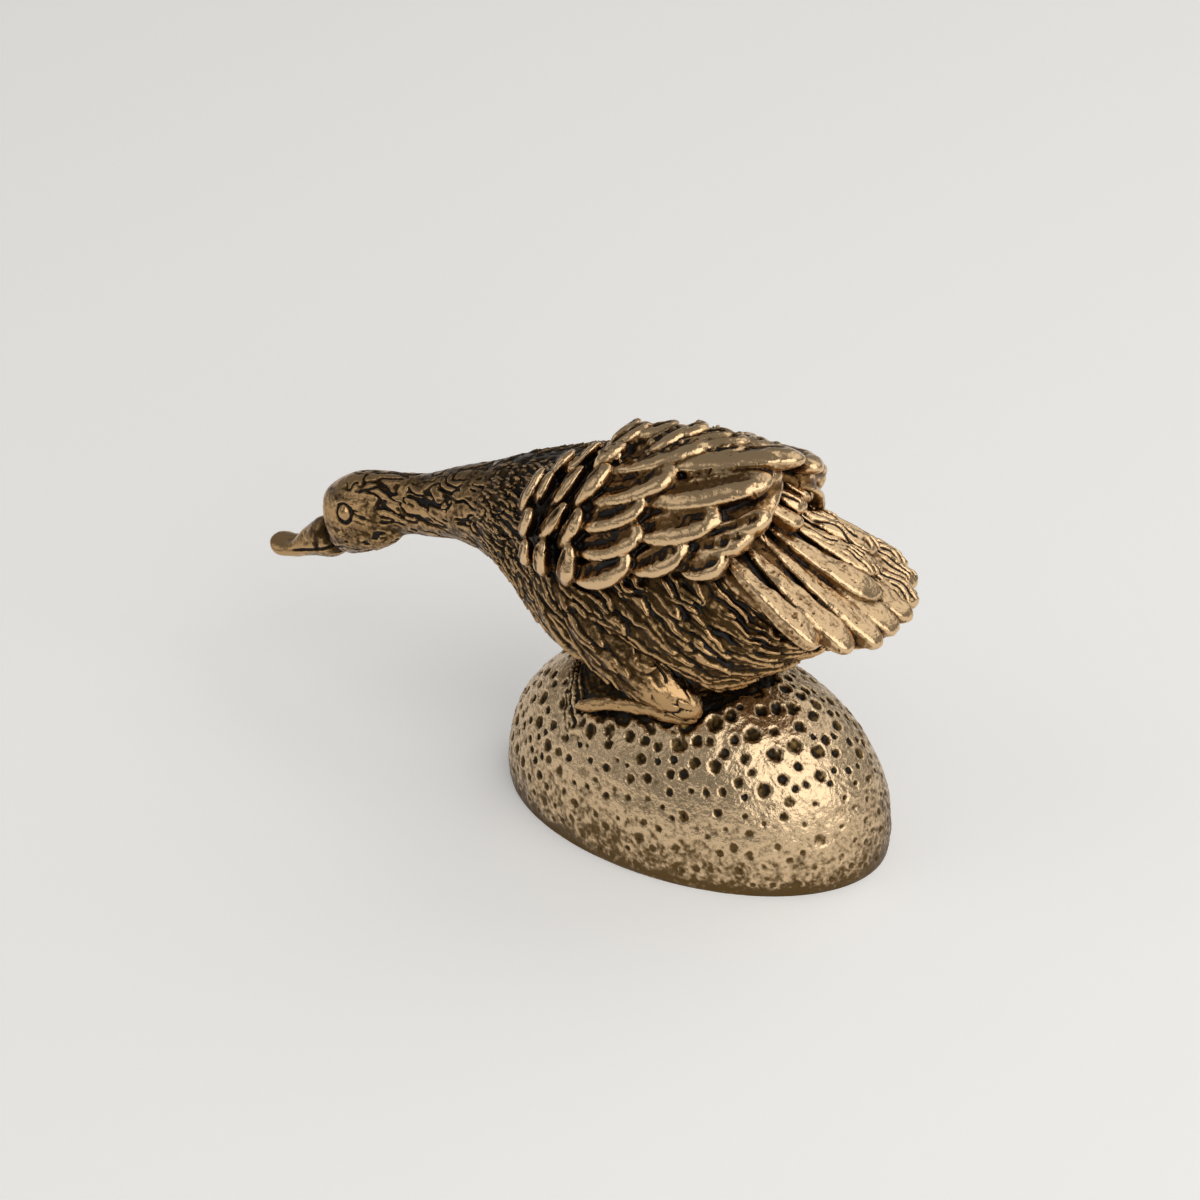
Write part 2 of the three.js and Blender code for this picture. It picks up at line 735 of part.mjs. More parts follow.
function goose() {
  const pins = dowels();
  pins.right_leg_dowel = mirroredDowel(pins.left_leg_dowel);
  const socket = (name) => dowelSolid(pins[name], clearance);

  const ahead = halfSpace(new THREE.Vector3(-1, 0, 0), bodyForward - clearance / 2);
  const behind = halfSpace(new THREE.Vector3(1, 0, 0), -bodyForward - clearance / 2);
  const rightHalf = halfSpace(new THREE.Vector3(0, 1, 0), wingOverlap - clearance / 2);
  const leftHalf = halfSpace(new THREE.Vector3(0, -1, 0), -wingOverlap - clearance / 2);

  const egg = eggForm(0)
    .subtract(socket('belly_dowel'))
    .subtract(socket('left_leg_dowel'))
    .subtract(socket('right_leg_dowel'));

  const eggRoom = eggForm(clearance);
  const bodyRoom = formSolid(gooseForm, formSides, formSteps, clearance);
  const body = formSolid(gooseForm, formSides, formSteps, 0)
    .subtract(ahead)
    .subtract(eggRoom)
    .subtract(socket('neck_dowel'))
    .subtract(socket('left_wing_dowel'))
    .subtract(socket('right_wing_dowel'))
    .subtract(socket('tail_dowel'))
    .subtract(socket('belly_dowel'))
    .subtract(socket('left_leg_dowel'))
    .subtract(socket('right_leg_dowel'));

  const neckAndHead = joined([
    formSolid(gooseForm, formSides, formSteps, 0),
    billSolid(),
    cheekSolid(),
    eyeSolid(),
    mirroredAcross(eyeSolid()),
  ])
    .subtract(behind)
    .subtract(socket('neck_dowel'));

  const legRoom = legMass(clearance);
  const tailRoom = tailMass(clearance);
  const tailFan = tailMass(0).subtract(bodyRoom).subtract(socket('tail_dowel'));
  const leftWing = wingMass(0, 0)
    .subtract(bodyRoom)
    .subtract(tailRoom)
    .subtract(legRoom)
    .subtract(ahead)
    .subtract(rightHalf)
    .subtract(socket('left_wing_dowel'));
  const rightWing = mirroredAcross(wingMass(rightWingDrop, rightWingTurnShare))
    .subtract(bodyRoom)
    .subtract(tailRoom)
    .subtract(mirroredAcross(legRoom))
    .subtract(ahead)
    .subtract(leftHalf)
    .subtract(socket('right_wing_dowel'));
  const leftLeg = legMass(0).subtract(bodyRoom).subtract(eggRoom).subtract(socket('left_leg_dowel'));

  const group = new THREE.Group();
  group.add(
    pieceOf('egg_base', egg, hammeredBrass()),
    pieceOf('body', body, antiqueBrass()),
    pieceOf('neck_and_head', neckAndHead, antiqueBrass()),
    pieceOf('left_wing', leftWing, polishedBrass()),
    pieceOf('right_wing', rightWing, polishedBrass()),
    pieceOf('tail_fan', tailFan, polishedBrass()),
    pieceOf('left_leg', leftLeg, antiqueBrass()),
    pieceOf('right_leg', mirroredAcross(leftLeg), antiqueBrass()),
  );
  for (const [name, pin] of Object.entries(pins)) {
    group.add(pieceOf(name, dowelSolid(pin, 0), dowelBrass()));
  }
  return group;
}

export default goose();
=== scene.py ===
"""Looks of a small cast brass goose that crouches on a hammered brass egg.

Metres, +Z up. The goose looks along -X and its left side faces -Y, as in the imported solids.
Sizes are written in millimetres and turned to metres when a piece is finished.
"""

import json
import math

import bmesh
import bpy
import numpy as np
from mathutils.kdtree import KDTree
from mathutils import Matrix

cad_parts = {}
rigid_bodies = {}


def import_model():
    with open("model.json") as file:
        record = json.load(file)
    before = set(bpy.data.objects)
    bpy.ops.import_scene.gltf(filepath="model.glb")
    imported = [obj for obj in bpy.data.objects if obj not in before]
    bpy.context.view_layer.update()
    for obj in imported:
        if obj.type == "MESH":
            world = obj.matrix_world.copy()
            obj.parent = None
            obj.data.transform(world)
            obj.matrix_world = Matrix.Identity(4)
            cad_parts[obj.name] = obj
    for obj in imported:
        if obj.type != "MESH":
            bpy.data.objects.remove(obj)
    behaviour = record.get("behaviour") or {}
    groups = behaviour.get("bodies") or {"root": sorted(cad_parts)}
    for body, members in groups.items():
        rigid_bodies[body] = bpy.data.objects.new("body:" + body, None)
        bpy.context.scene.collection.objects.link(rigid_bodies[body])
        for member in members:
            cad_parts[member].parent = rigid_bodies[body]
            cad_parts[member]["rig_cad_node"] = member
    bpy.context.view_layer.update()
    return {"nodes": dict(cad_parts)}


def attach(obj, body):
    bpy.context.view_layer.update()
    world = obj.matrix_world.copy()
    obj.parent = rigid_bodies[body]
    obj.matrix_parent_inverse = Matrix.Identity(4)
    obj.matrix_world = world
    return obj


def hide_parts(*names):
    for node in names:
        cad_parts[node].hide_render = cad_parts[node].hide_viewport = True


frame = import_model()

bl_info = {
    "name": "Brass goose on an egg",
    "version": (1, 0, 0),
    "blender": (4, 5, 0),
    "location": "3D View > Sidebar > Goose",
    "description": "Sculpts and finishes a small cast brass goose that crouches on a hammered egg",
    "category": "Object",
}

MM = 0.001
BODY = "root"

# Rows of the goose from the forehead to the vent: x, z, half height and half width
GOOSE_ROWS = (
    (-34.4, 15.1, 0, 0), (-33.2, 15.4, 2.88, 2.23), (-30.8, 17.2, 3.2, 2.54), (-27.6, 18.7, 2.6, 2.15),
    (-24.5, 19.5, 2.6, 2.21), (-21.2, 20.6, 3.15, 2.75), (-17.8, 21.2, 4.13, 3.72),
    (-14.5, 21.4, 5.72, 5.2), (-10.7, 21.1, 7.8, 7.1), (-6.8, 20.5, 8.6, 8), (-3, 20.8, 9, 8.3),
    (0.8, 21.1, 8.8, 8.3), (4.6, 21.3, 7.6, 7.7), (8.5, 21.1, 4.4, 5.6), (12.3, 21.2, 0, 0),
)
COLLAR_ROW = 7

# The same rows round the folded wings, from the collar to the vent
WING_ROWS = (
    (-14.5, 21.4, 6.3, 5.9), (-10.7, 21.1, 8.3, 8), (-6.8, 20.8, 10.4, 8.9), (-3, 21.1, 11.2, 9.3),
    (0.8, 21.4, 11.7, 9.4), (4.6, 21.9, 11.3, 9), (8.5, 22.4, 10.9, 7.8), (12.3, 22.9, 10, 6),
)

# Bill from its tip to its root: x, z, half height and half width
BILL_ROWS = (
    (-40.7, 11.3, 0, 0), (-39.6, 11.1, 0.62, 1.5), (-37.9, 11.6, 0.85, 1.45), (-36.2, 12.5, 1.15, 1.5),
    (-34.5, 13.4, 1.6, 1.65), (-32.3, 14.3, 0, 0),
)

# Brow, eyeball and the two folds at the root of the bill: place, half sizes and tilt
HEAD_OVALS = (
    (-31, 2.05, 18.75, (1.7, 0.45, 0.32), -0.3), (-31.5, 2.38, 17.8, (0.5, 0.45, 0.6), 0.1),
    (-34.6, 1.25, 13.75, (0.28, 0.4, 0.75), 0.5), (-35.6, 1.3, 13.1, (0.25, 0.35, 0.65), 0.6),
)

EGG_HALF = (16.25, 10.5, 12.8)
EGG_WAIST = 1.7

# Uneven skin of the egg: size of the lumps, seed and height
EGG_ROUGHNESS = ((2.6, 3, 0.35), (0.8, 5, 0.12), (0.4, 6, 0.07))
PIT_TRIES = 5000
LOWEST_PIT = 0.4

# Outline of the sunk hollow in the egg round the foot and the belly, painted dark as the shade under them:
# x and distance from the middle
HOLLOW_OUTLINE = (
    (-10.5, -2), (-9.3, 2.5), (-8.2, 5.2), (-6.95, 6.64), (-5.27, 6.9), (-3.69, 7.04), (-2.18, 7.07),
    (-0.73, 7.03), (0.64, 6.87), (1.97, 6.65), (2.99, 6.41), (3.36, 5.81), (3.61, 5.02), (4.19, 4.3),
    (4.82, 3.38), (5.52, 2.35), (6.04, 1.24), (6.47, 0), (7.5, -3),
)

# Dark furrow between the thigh and the flank: x and z
THIGH_FURROW = ((-2.3, 18.6), (0.8, 17.3), (2.8, 16), (3.9, 14.4), (3.8, 12.8))

# Long feathers of the wing: root and tip, each as a share along the body and round it from the
# ridge, then the width in millimetres, the middle of the sunk band as a share of half the width
# and the band's half width in the same share
LONG_FEATHERS = (
    (0.505, 0.37, 0.704, 0.3, 2.7, -0.1, 0.4), (0.495, 0.295, 0.77, 0.228, 3.1, -0.15, 0.34),
    (0.5, 0.225, 0.868, 0.112, 3.2, -0.12, 0.16), (0.49, 0.135, 0.905, -0.014, 3.4, -0.25, 0.3),
    (0.32, 0.42, 0.525, 0.347, 2.7, -0.2, 0.4), (0.32, 0.356, 0.55, 0.29, 2.5, -0.2, 0.4),
    (0.31, 0.296, 0.535, 0.231, 2.6, -0.2, 0.36), (0.33, 0.24, 0.605, 0.143, 2.8, -0.2, 0.42),
    (0.345, 0.155, 0.66, 0.046, 2.9, -0.25, 0.5),
)
TIP_MASS = (0.6, 0.13, 0.855, 0.05, 4.6, 0, 0)

# Flank feathers under the wing tip, the puffy coverts of the shoulder and the feathers of the back,
# in the same columns: a row without a band takes the usual one of its kind
COVERTS = (
    (0.67, 0.35, 0.813, 0.32, 2.3, 0, 0.4), (0.69, 0.31, 0.868, 0.26, 2.2, 0, 0.4),
    (0.74, 0.27, 0.9, 0.213, 2.1, 0, 0.4), (0.29, 0.45, 0.318, 0.342, 2.1),
    (0.206, 0.45, 0.192, 0.348, 1.7), (0.143, 0.445, 0.134, 0.365, 1.5), (0.225, 0.36, 0.337, 0.263, 2.1),
    (0.155, 0.355, 0.225, 0.25, 1.95), (0.103, 0.37, 0.117, 0.275, 1.6), (0.24, 0.26, 0.391, 0.158, 2.1),
    (0.158, 0.255, 0.211, 0.135, 2), (0.107, 0.26, 0.127, 0.16, 1.6), (0.058, 0.3, 0.085, 0.145, 1.6),
    (0.235, 0.15, 0.403, 0.095, 2), (0.145, 0.14, 0.205, 0.05, 1.8), (0.097, 0.165, 0.147, 0.073, 1.6),
)
SCAPULARS = (
    (0.2, 0.075, 0.33, -0.002, 2), (0.3, 0.09, 0.415, -0.002, 2.1),
    (0.43, 0.095, 0.53, -0.004, 2.6, 0.1, 0.35), (0.53, 0.06, 0.735, -0.012, 2.6, -0.1, 0.3),
    (0.62, 0.08, 0.745, 0.03, 1.8, 0, 0.25), (0.26, 0.035, 0.37, -0.025, 1.9),
    (0.36, 0.04, 0.48, -0.025, 2.1), (0.46, 0.035, 0.6, -0.025, 2.2), (0.56, 0.03, 0.69, -0.02, 2.1),
)

# How each kind of feather stands: thickness, depth of the root, lift of the tip, tilt of the
# lower edge and depth of the sunk band in millimetres, how blunt the tip is and the usual band
FEATHER_BUILDS = {
    "long": (1.7, 0.35, 0.25, 0.34, 0.34, 9),
    "covert": (1.9, 0.35, 0.45, 0.15, 0.2, 6, -0.4, 0.3),
    "scapular": (1.6, 0.45, 0.3, 0.1, 0.22, 6, 0, 0.3),
    "mass": (2.6, 0.6, -0.75, 0, 0, 6),
}

# Wings: how far each hangs down in millimetres, how far it is turned round the body as a share,
# and whether it is the mirrored one; both end at the same share round the body
WINGS = (("left_wing", 0, 0, False), ("right_wing", 1.2, 0.12, True))
WING_EDGE = 0.45

TAIL_DROOP = math.radians(32)
TAIL_ROOT = (5.33, 0, 29)

# Tail feathers: distance and side of the root, then of the tip, width there and rise
TAIL_FEATHERS = (
    (0.5, -6.3, 10.4, -6.45, 2.2, 2.3, 0), (1, -4.3, 12.3, -4.5, 2.1, 3, 0.1),
    (0.6, -2.4, 13.5, -2.15, 2.1, 2.5, 0.2), (3, -0.8, 13.6, 0, 2.2, 2.8, 0.25),
    (3, 0.8, 13.6, 2.2, 2.1, 2.5, 0.25), (3, 2.2, 13.2, 4.1, 2.1, 2.4, 0.15),
    (2.5, 3.5, 12.2, 5.8, 2, 2.3, 0), (2, 4.4, 10.6, 6.9, 1.8, 1.8, -0.2),
    (1.5, -1.7, 10.9, 0.8, 2.3, 3, 0.75), (1.5, 0.4, 9.7, 3.1, 2.2, 2.7, 0.6),
    (1, 2, 8.4, 5, 2.1, 2.4, 0.4), (-1.6, -1.4, 3.3, -0.25, 1.3, 1.7, 1.5),
    (-1.6, 0.6, 2.6, 1.2, 1.4, 1.8, 1.5), (-1.6, 2.4, 2.2, 3.2, 1.4, 1.8, 1.2),
)

# Rump and the flesh under the tail: distance, side and depth of the middle, and half sizes
RUMP = ((3.4, -0.6, -2.4, (6, 6, 2)), (8, 0, -1.4, (5.2, 6.2, 0.7)))

# Toes from the claw to the heel: x and z
FOOT_LINE = ((-7, 10.7), (-4.2, 12), (-1.6, 12.5), (1.7, 12.7), (3.2, 12.5))


def hex_colour(code):
    """Linear colour of an sRGB hex value."""
    parts = [int(code[i:i + 2], 16) / 255 for i in (1, 3, 5)]
    return tuple(c / 12.92 if c <= 0.04045 else ((c + 0.055) / 1.055) ** 2.4 for c in parts) + (1.0,)


# Forms


def on_line(values, share):
    """Smooth line through rows of values, at shares of its length."""
    values = np.asarray(values, float)
    last = len(values) - 1
    place = np.clip(share, 0, 1) * last
    i = np.minimum(place.astype(int), last - 1)
    w = (place - i)[:, None]
    ends = np.concatenate([[2 * values[0] - values[1]], values, [2 * values[-1] - values[-2]]])
    a, b, c, d = ends[i], ends[i + 1], ends[i + 2], ends[i + 3]
    go, come = (c - a) / 2, (d - b) / 2
    return b + go * w + (3 * (c - b) - 2 * go - come) * w ** 2 + (2 * (b - c) + go + come) * w ** 3


def unit_rows(ways):
    """The same directions, each with a length of 1."""
    return ways / np.linalg.norm(ways, axis=1)[:, None]


def skin(rows, along, turn, lift):
    """Points over an oval form: turn is measured from the ridge towards the left side."""
    rows = np.asarray(rows, float)
    along, turn, lift = np.broadcast_arrays(along, turn, lift)
    spine = on_line(rows[:, :2], along)
    inner = np.clip(along, 1e-3, 1 - 1e-3)
    ahead = unit_rows(on_line(rows[:, :2], inner + 1e-4) - on_line(rows[:, :2], inner - 1e-4))
    girth = np.sqrt(np.maximum(on_line(rows[:, 2:] ** 2, along), 0))
    high = (girth[:, 0] + lift) * np.cos(turn)
    wide = (girth[:, 1] + lift) * np.sin(turn)
    return np.stack([spine[:, 0] - ahead[:, 1] * high, -wide, spine[:, 1] + ahead[:, 0] * high], 1)


def swell(share, root, tip):
    """How far a lobe stands out along its length: larger numbers make blunter ends."""
    share = np.clip(share, 0, 1)
    return np.sqrt(np.maximum((1 - (1 - share) ** root) * (1 - share ** tip), 0))


def ramp(low, high, value):
    """A smooth step from 0 at low to 1 at high, whichever of the two is larger."""
    t = np.clip((value - low) / (high - low), 0, 1)
    return t * t * (3 - 2 * t)


def bump(value, middle, half):
    """A smooth hump of height 1."""
    return np.exp(-((value - middle) / half) ** 2)


def grain(points, seed):
    """Soft noise from 0 to 1 over points whose unit is one grain."""
    table = np.random.default_rng(seed).random((32, 32, 32))
    cell = np.floor(points).astype(int)
    part = ramp(0, 1, points - cell)
    total = np.zeros(len(points))
    for corner in range(8):
        step = np.array([corner & 1, corner >> 1 & 1, corner >> 2 & 1])
        index = (cell + step) % 32
        weight = np.prod(np.where(step == 1, part, 1 - part), axis=1)
        total += weight * table[index[:, 0], index[:, 1], index[:, 2]]
    return total


def rough(points, seed):
    """Soft noise round 0 with two finer layers in it."""
    finer = grain(points * 2.1, seed + 1) / 2
    finest = grain(points * 4.3, seed + 2) / 4
    return (grain(points, seed) + finer + finest) / 1.75 - 0.5


def warps(points, seeds):
    """Three soft noises round 0, to push a pattern out of line."""
    return np.stack([grain(points, seed) for seed in seeds], 1) - 0.5


def away_from(points, middle, scale=1):
    """Distance from a place, in units of the scale along each axis."""
    return np.linalg.norm((points - middle) / scale, axis=1)


def gap_to(points, line):
    """Distance from each point to a line of straight pieces."""
    line = np.asarray(line, float)
    gap = np.full(len(points), 1e9)
    for a, b in zip(line[:-1], line[1:]):
        way = b - a
        share = np.clip((points - a) @ way / (way @ way), 0, 1)
        gap = np.minimum(gap, np.linalg.norm(points - a - share[:, None] * way, axis=1))
    return gap


def past_hollow(points):
    """How far a point of the egg lies outside the sunk hollow with its painted shade, sideways."""
    line = np.asarray(HOLLOW_OUTLINE, float)
    beside = np.abs(points[..., 1]) - np.interp(points[..., 0], line[:, 0], line[:, 1])
    return np.where(points[..., 2] > 6, beside, 9)


# Meshes


def new_mesh(name, bm):
    mesh = bpy.data.meshes.new(name)
    bm.to_mesh(mesh)
    bm.free()
    return mesh


def new_object(name, data):
    thing = bpy.data.objects.new(name, data)
    bpy.context.scene.collection.objects.link(thing)
    return thing


def modified(piece, kind, **settings):
    """Swaps an object's mesh for what a modifier makes of it."""
    modifier = piece.modifiers.new(kind, kind)
    for name, value in settings.items():
        setattr(modifier, name, value)
    shown = piece.evaluated_get(bpy.context.evaluated_depsgraph_get())
    old, piece.data = piece.data, bpy.data.meshes.new_from_object(shown)
    piece.modifiers.clear()
    bpy.data.meshes.remove(old)
    piece.data.name = piece.name
    return piece


def ball(sides, rings, levels=0):
    """A ball's mesh, made once, with every corner's share from pole to pole and its turn."""
    name = f"ball {sides} {rings} {levels}"
    if name not in bpy.data.meshes:
        bm = bmesh.new()
        bmesh.ops.create_uvsphere(bm, u_segments=sides, v_segments=rings, radius=1)
        mesh = new_mesh(name, bm)
        if levels:
            finer = {"subdivision_type": "SIMPLE", "levels": levels, "render_levels": levels}
            bpy.data.objects.remove(modified(new_object(name, mesh), "SUBSURF", **finer))
    mesh = bpy.data.meshes[name]
    x, y, z = unit_rows(points_of(mesh)).T
    return mesh, np.arccos(np.clip(z, -1, 1)) / math.pi, np.arctan2(y, x)


def plain_lobe(mesh, points):
    """A lobe that carries no marks for its band and rim."""
    return mesh, points, np.zeros((len(points), 2))


def form_lobe(rows, sides, rings, levels=0):
    """A ball drawn out along an oval form."""
    mesh, share, turn = ball(sides, rings, levels)
    return plain_lobe(mesh, skin(rows, share, turn, 0))


def blunt(value, power=0.7):
    """Makes a round section squarer."""
    return np.sign(value) * np.abs(value) ** power


def feather_lobe(rows, feather, build, drop, turned, sides=32, rings=40):
    """A feather laid on a form: its lower rim stands up, and a barbed band is sunk in its middle."""
    root_along, root_round, tip_along, tip_round, width, *own_band = feather
    thickness, sink, lift, tilt, hollow, bluntness, *usual_band = build
    middle, half = own_band or usual_band
    squeeze = 1 - turned / WING_EDGE
    root_round = turned + squeeze * root_round
    tip_round = turned + squeeze * tip_round
    rows = np.asarray(rows, float) - (0, drop, 0, 0)
    mesh, polar, turn = ball(sides, rings)
    share = ramp(0, 1, polar)
    bow = 0.012 * np.sin(math.pi * share)
    along = root_along + (tip_along - root_along) * share
    around = math.pi * (root_round + (tip_round - root_round) * share + bow)
    height = -sink + (lift + sink) * share

    def slope(on, up):
        ahead = skin(rows, along + on, around + up, height)
        return (ahead - skin(rows, along - on, around - up, height)) / (2 * (on + up))

    length_way, round_way = slope(1e-3, 0), slope(0, 1e-3)
    heading = length_way * (tip_along - root_along) + round_way * math.pi * (tip_round - root_round)
    sideways = np.cross(unit_rows(heading), unit_rows(np.cross(round_way, length_way)))
    full = swell(share, 4, bluntness)
    across = blunt(np.sin(turn))
    side = full * (0.85 + 0.15 * share) * width / 2 * across
    rise = full * thickness / 2 * blunt(np.cos(turn)) + tilt * across * full
    top = ramp(0.05, 0.5, np.cos(turn))
    fade = ramp(0.02, 0.15, share) * ramp(0.93, 0.8, share)
    band = top * fade * (bump(across, middle - 0.05, 0.9 * half) if half else 0)
    rise -= hollow * band
    bare = np.maximum(ramp(0.1, 0.4, across), 0.7 * ramp(0.55, 0.8, -across))
    rim = top * np.maximum(bare * ramp(0.1, 0.4, share), ramp(0.8, 0.94, share))
    along_shift = side * np.sum(sideways * length_way, 1) / np.sum(length_way ** 2, 1)
    round_shift = side * np.sum(sideways * round_way, 1) / np.sum(round_way ** 2, 1)
    points = skin(rows, along + along_shift, around + round_shift, height + rise)
    return mesh, points, np.stack([band, rim], 1)


def tail_point(length, across, rise):
    """A point in the frame of the tail, which droops backwards from the rump."""
    x = TAIL_ROOT[0] + length * math.cos(TAIL_DROOP) + rise * math.sin(TAIL_DROOP)
    z = TAIL_ROOT[2] - length * math.sin(TAIL_DROOP) + rise * math.cos(TAIL_DROOP)
    return np.stack([x, across, z], 1)


def tail_lobe(feather, thickness=1.5):
    """A long flat feather of the tail, with steep sides, a blunt tip and a faint quill."""
    root_length, root, tip_length, tip, root_width, tip_width, raised = feather
    mesh, polar, turn = ball(36, 56)
    share = ramp(0, 1, polar)
    full = swell(share, 1.2, 11)
    across = blunt(np.sin(turn), 0.5)
    length = root_length + (tip_length - root_length) * share
    middle = root + (tip - root) * share - 0.25 * np.sin(math.pi * share)
    width = root_width + (tip_width - root_width) * share
    crown = -0.2 * (middle / 7.5) ** 2
    rise = raised + crown - thickness / 2 + full * thickness / 2 * blunt(np.cos(turn), 0.4)
    top = ramp(0.05, 0.5, np.cos(turn))
    fade = ramp(0.05, 0.2, share) * ramp(0.95, 0.8, share)
    rise += 0.08 * top * fade * bump(across, -0.1, 0.12)
    band = 0.25 * top * fade * bump(across, 0, 0.4)
    rim = top * (0.75 + 0.25 * ramp(0.7, 0.95, share))
    return mesh, tail_point(length, middle + full * width / 2 * across, rise), np.stack([band, rim], 1)


def oval_lobe(middle, half, tipped=0.0):
    """An oval ball, tipped about the crosswise axis."""
    mesh = ball(30, 34)[0]
    x, y, z = (points_of(mesh) * half).T
    c, s = math.cos(tipped), math.sin(tipped)
    return plain_lobe(mesh, np.stack([x * c + z * s, y, z * c - x * s], 1) + middle)


def rod_lobe(start, end, wide, high):
    """An oval ball stretched between two points."""
    mesh = ball(30, 34)[0]
    unit = points_of(mesh)
    start, end = np.array(start, float), np.array(end, float)
    side = np.cross(end - start, (0, 0, 1))
    side /= np.linalg.norm(side)
    up = np.cross(side, end - start)
    up /= np.linalg.norm(up)
    along = unit[:, 2:] * (end - start) / 2
    points = (start + end) / 2 + along + unit[:, :1] * side * wide + unit[:, 1:2] * up * high
    return plain_lobe(mesh, points)


def cloud_of(lobes, mirrored):
    """Every corner of the lobes of a piece."""
    points = np.concatenate([points for _, points, _ in lobes])
    return points * (1, -1, 1) if mirrored else points


def marks_at(points, lobes, mirrored):
    """Marks of the nearest lobe corner, for each point."""
    cloud = cloud_of(lobes, mirrored)
    tree = KDTree(len(cloud))
    for k, place in enumerate(cloud):
        tree.insert(place, k)
    tree.balance()
    near = [tree.find(place)[1] for place in points]
    return np.concatenate([marks for _, _, marks in lobes])[near]


def piece_from(name, lobes, mirrored=False):
    """One mesh of several balls, each drawn out to its own points."""
    bm = bmesh.new()
    for mesh, _, _ in lobes:
        bm.from_mesh(mesh)
    for vert, place in zip(bm.verts, cloud_of(lobes, mirrored)):
        vert.co = place
    bm.normal_update()
    bmesh.ops.recalc_face_normals(bm, faces=bm.faces)
    return new_object(name, new_mesh(name, bm))


def fused(piece, voxel):
    """Joins overlapping lobes into one even skin."""
    return modified(piece, "REMESH", mode="VOXEL", voxel_size=voxel, use_smooth_shade=True)


def read(items, field, width, kind=np.float32):
    """Values of one field of a mesh, a row for each item."""
    flat = np.empty(len(items) * width, kind)
    items.foreach_get(field, flat)
    return flat.reshape(-1, width)


def points_of(mesh):
    return read(mesh.vertices, "co", 3).astype(float)


def normals_of(mesh):
    return read(mesh.vertex_normals, "vector", 3).astype(float)


def edges_of(mesh):
    return read(mesh.edges, "vertices", 2, np.int32)


def share_of(mesh, name):
    return read(mesh.attributes[name].data, "value", 1)[:, 0].astype(float)


def set_points(mesh, points):
    mesh.vertices.foreach_set("co", points.astype(np.float32).ravel())
    mesh.update()


def set_shares(mesh, **shares):
    """Writes a value from 0 to 1 on every corner, under each name."""
    for name, values in shares.items():
        layer = mesh.attributes.get(name) or mesh.attributes.new(name, "FLOAT", "POINT")
        layer.data.foreach_set("value", np.clip(values, 0, 1).astype(np.float32))


def eased(values, edges, rounds):
    """Values evened out along the edges of a mesh."""
    count = len(values)
    degree = np.maximum(np.bincount(edges.ravel(), minlength=count), 1)
    values = values.copy()
    for _ in range(rounds):
        for k in range(values.shape[1]):
            near = np.bincount(edges[:, 0], values[edges[:, 1], k], count)
            near += np.bincount(edges[:, 1], values[edges[:, 0], k], count)
            values[:, k] += (near / degree - values[:, k]) / 2
    return values


def smooth_mesh(mesh, rounds):
    set_points(mesh, eased(points_of(mesh), edges_of(mesh), rounds))


def raise_skin(mesh, heights):
    """Moves every corner along the skin's normal."""
    set_points(mesh, points_of(mesh) + normals_of(mesh) * heights[:, None])


def tuft_heights(u, v, tufts, ragged):
    """Height of overlapping tufts on a skin: each one rises from its root to its tip."""
    height = np.zeros(len(u))
    for start_u, start_v, heading, length, width, rise, wave in tufts:
        c, s = math.cos(heading), math.sin(heading)
        du, dv = u - start_u, v - start_v
        near = np.nonzero(np.abs(du - c * length / 2) + np.abs(dv - s * length / 2) < length)[0]
        share = (du[near] * c + dv[near] * s) / length
        off = (dv[near] * c - du[near] * s) / (width / 2)
        off = off + 0.2 * np.sin(2 * math.pi * (share + wave)) + ragged[near]
        full = swell(share, 1.5, 3) + 1e-6
        inside = (share > 0) & (share < 1) & (np.abs(off) < full)
        dome = np.maximum(1 - (off / full) ** 2, 0) ** 0.7
        here = rise * (0.3 + 0.7 * share) * dome * (0.75 - 0.4 * off / full)
        height[near] = np.maximum(height[near], np.where(inside, here, 0))
    return height


def turn_from_ridge(points):
    """Angle round the goose's spine, from the ridge down either side."""
    fine = on_line([row[:2] for row in GOOSE_ROWS], np.linspace(0, 1, 600))
    spine = np.interp(points[:, 0], fine[:, 0], fine[:, 1])
    return np.arctan2(np.abs(points[:, 1]), points[:, 2] - spine)


def finish_piece(piece, node, slot_name):
    """Turns a sculpted piece to metres and hands it to the frame."""
    mesh = piece.data
    set_points(mesh, points_of(mesh) * MM)
    mesh.shade_smooth()
    mesh.materials.clear()
    mesh.materials.append(finish_of(slot_name))
    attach(piece, BODY)
    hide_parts(node)


# Dark of the recesses as patina and as painted ambient shade: cell of the depth maps and reach of a
# shadow in millimetres, number of depth maps, and the longest edge that still tells how the skin bends
SKY_CELL = 0.22
SKY_REACH = 12.0
SKY_MAPS = 72
LONGEST_EDGE = 0.8


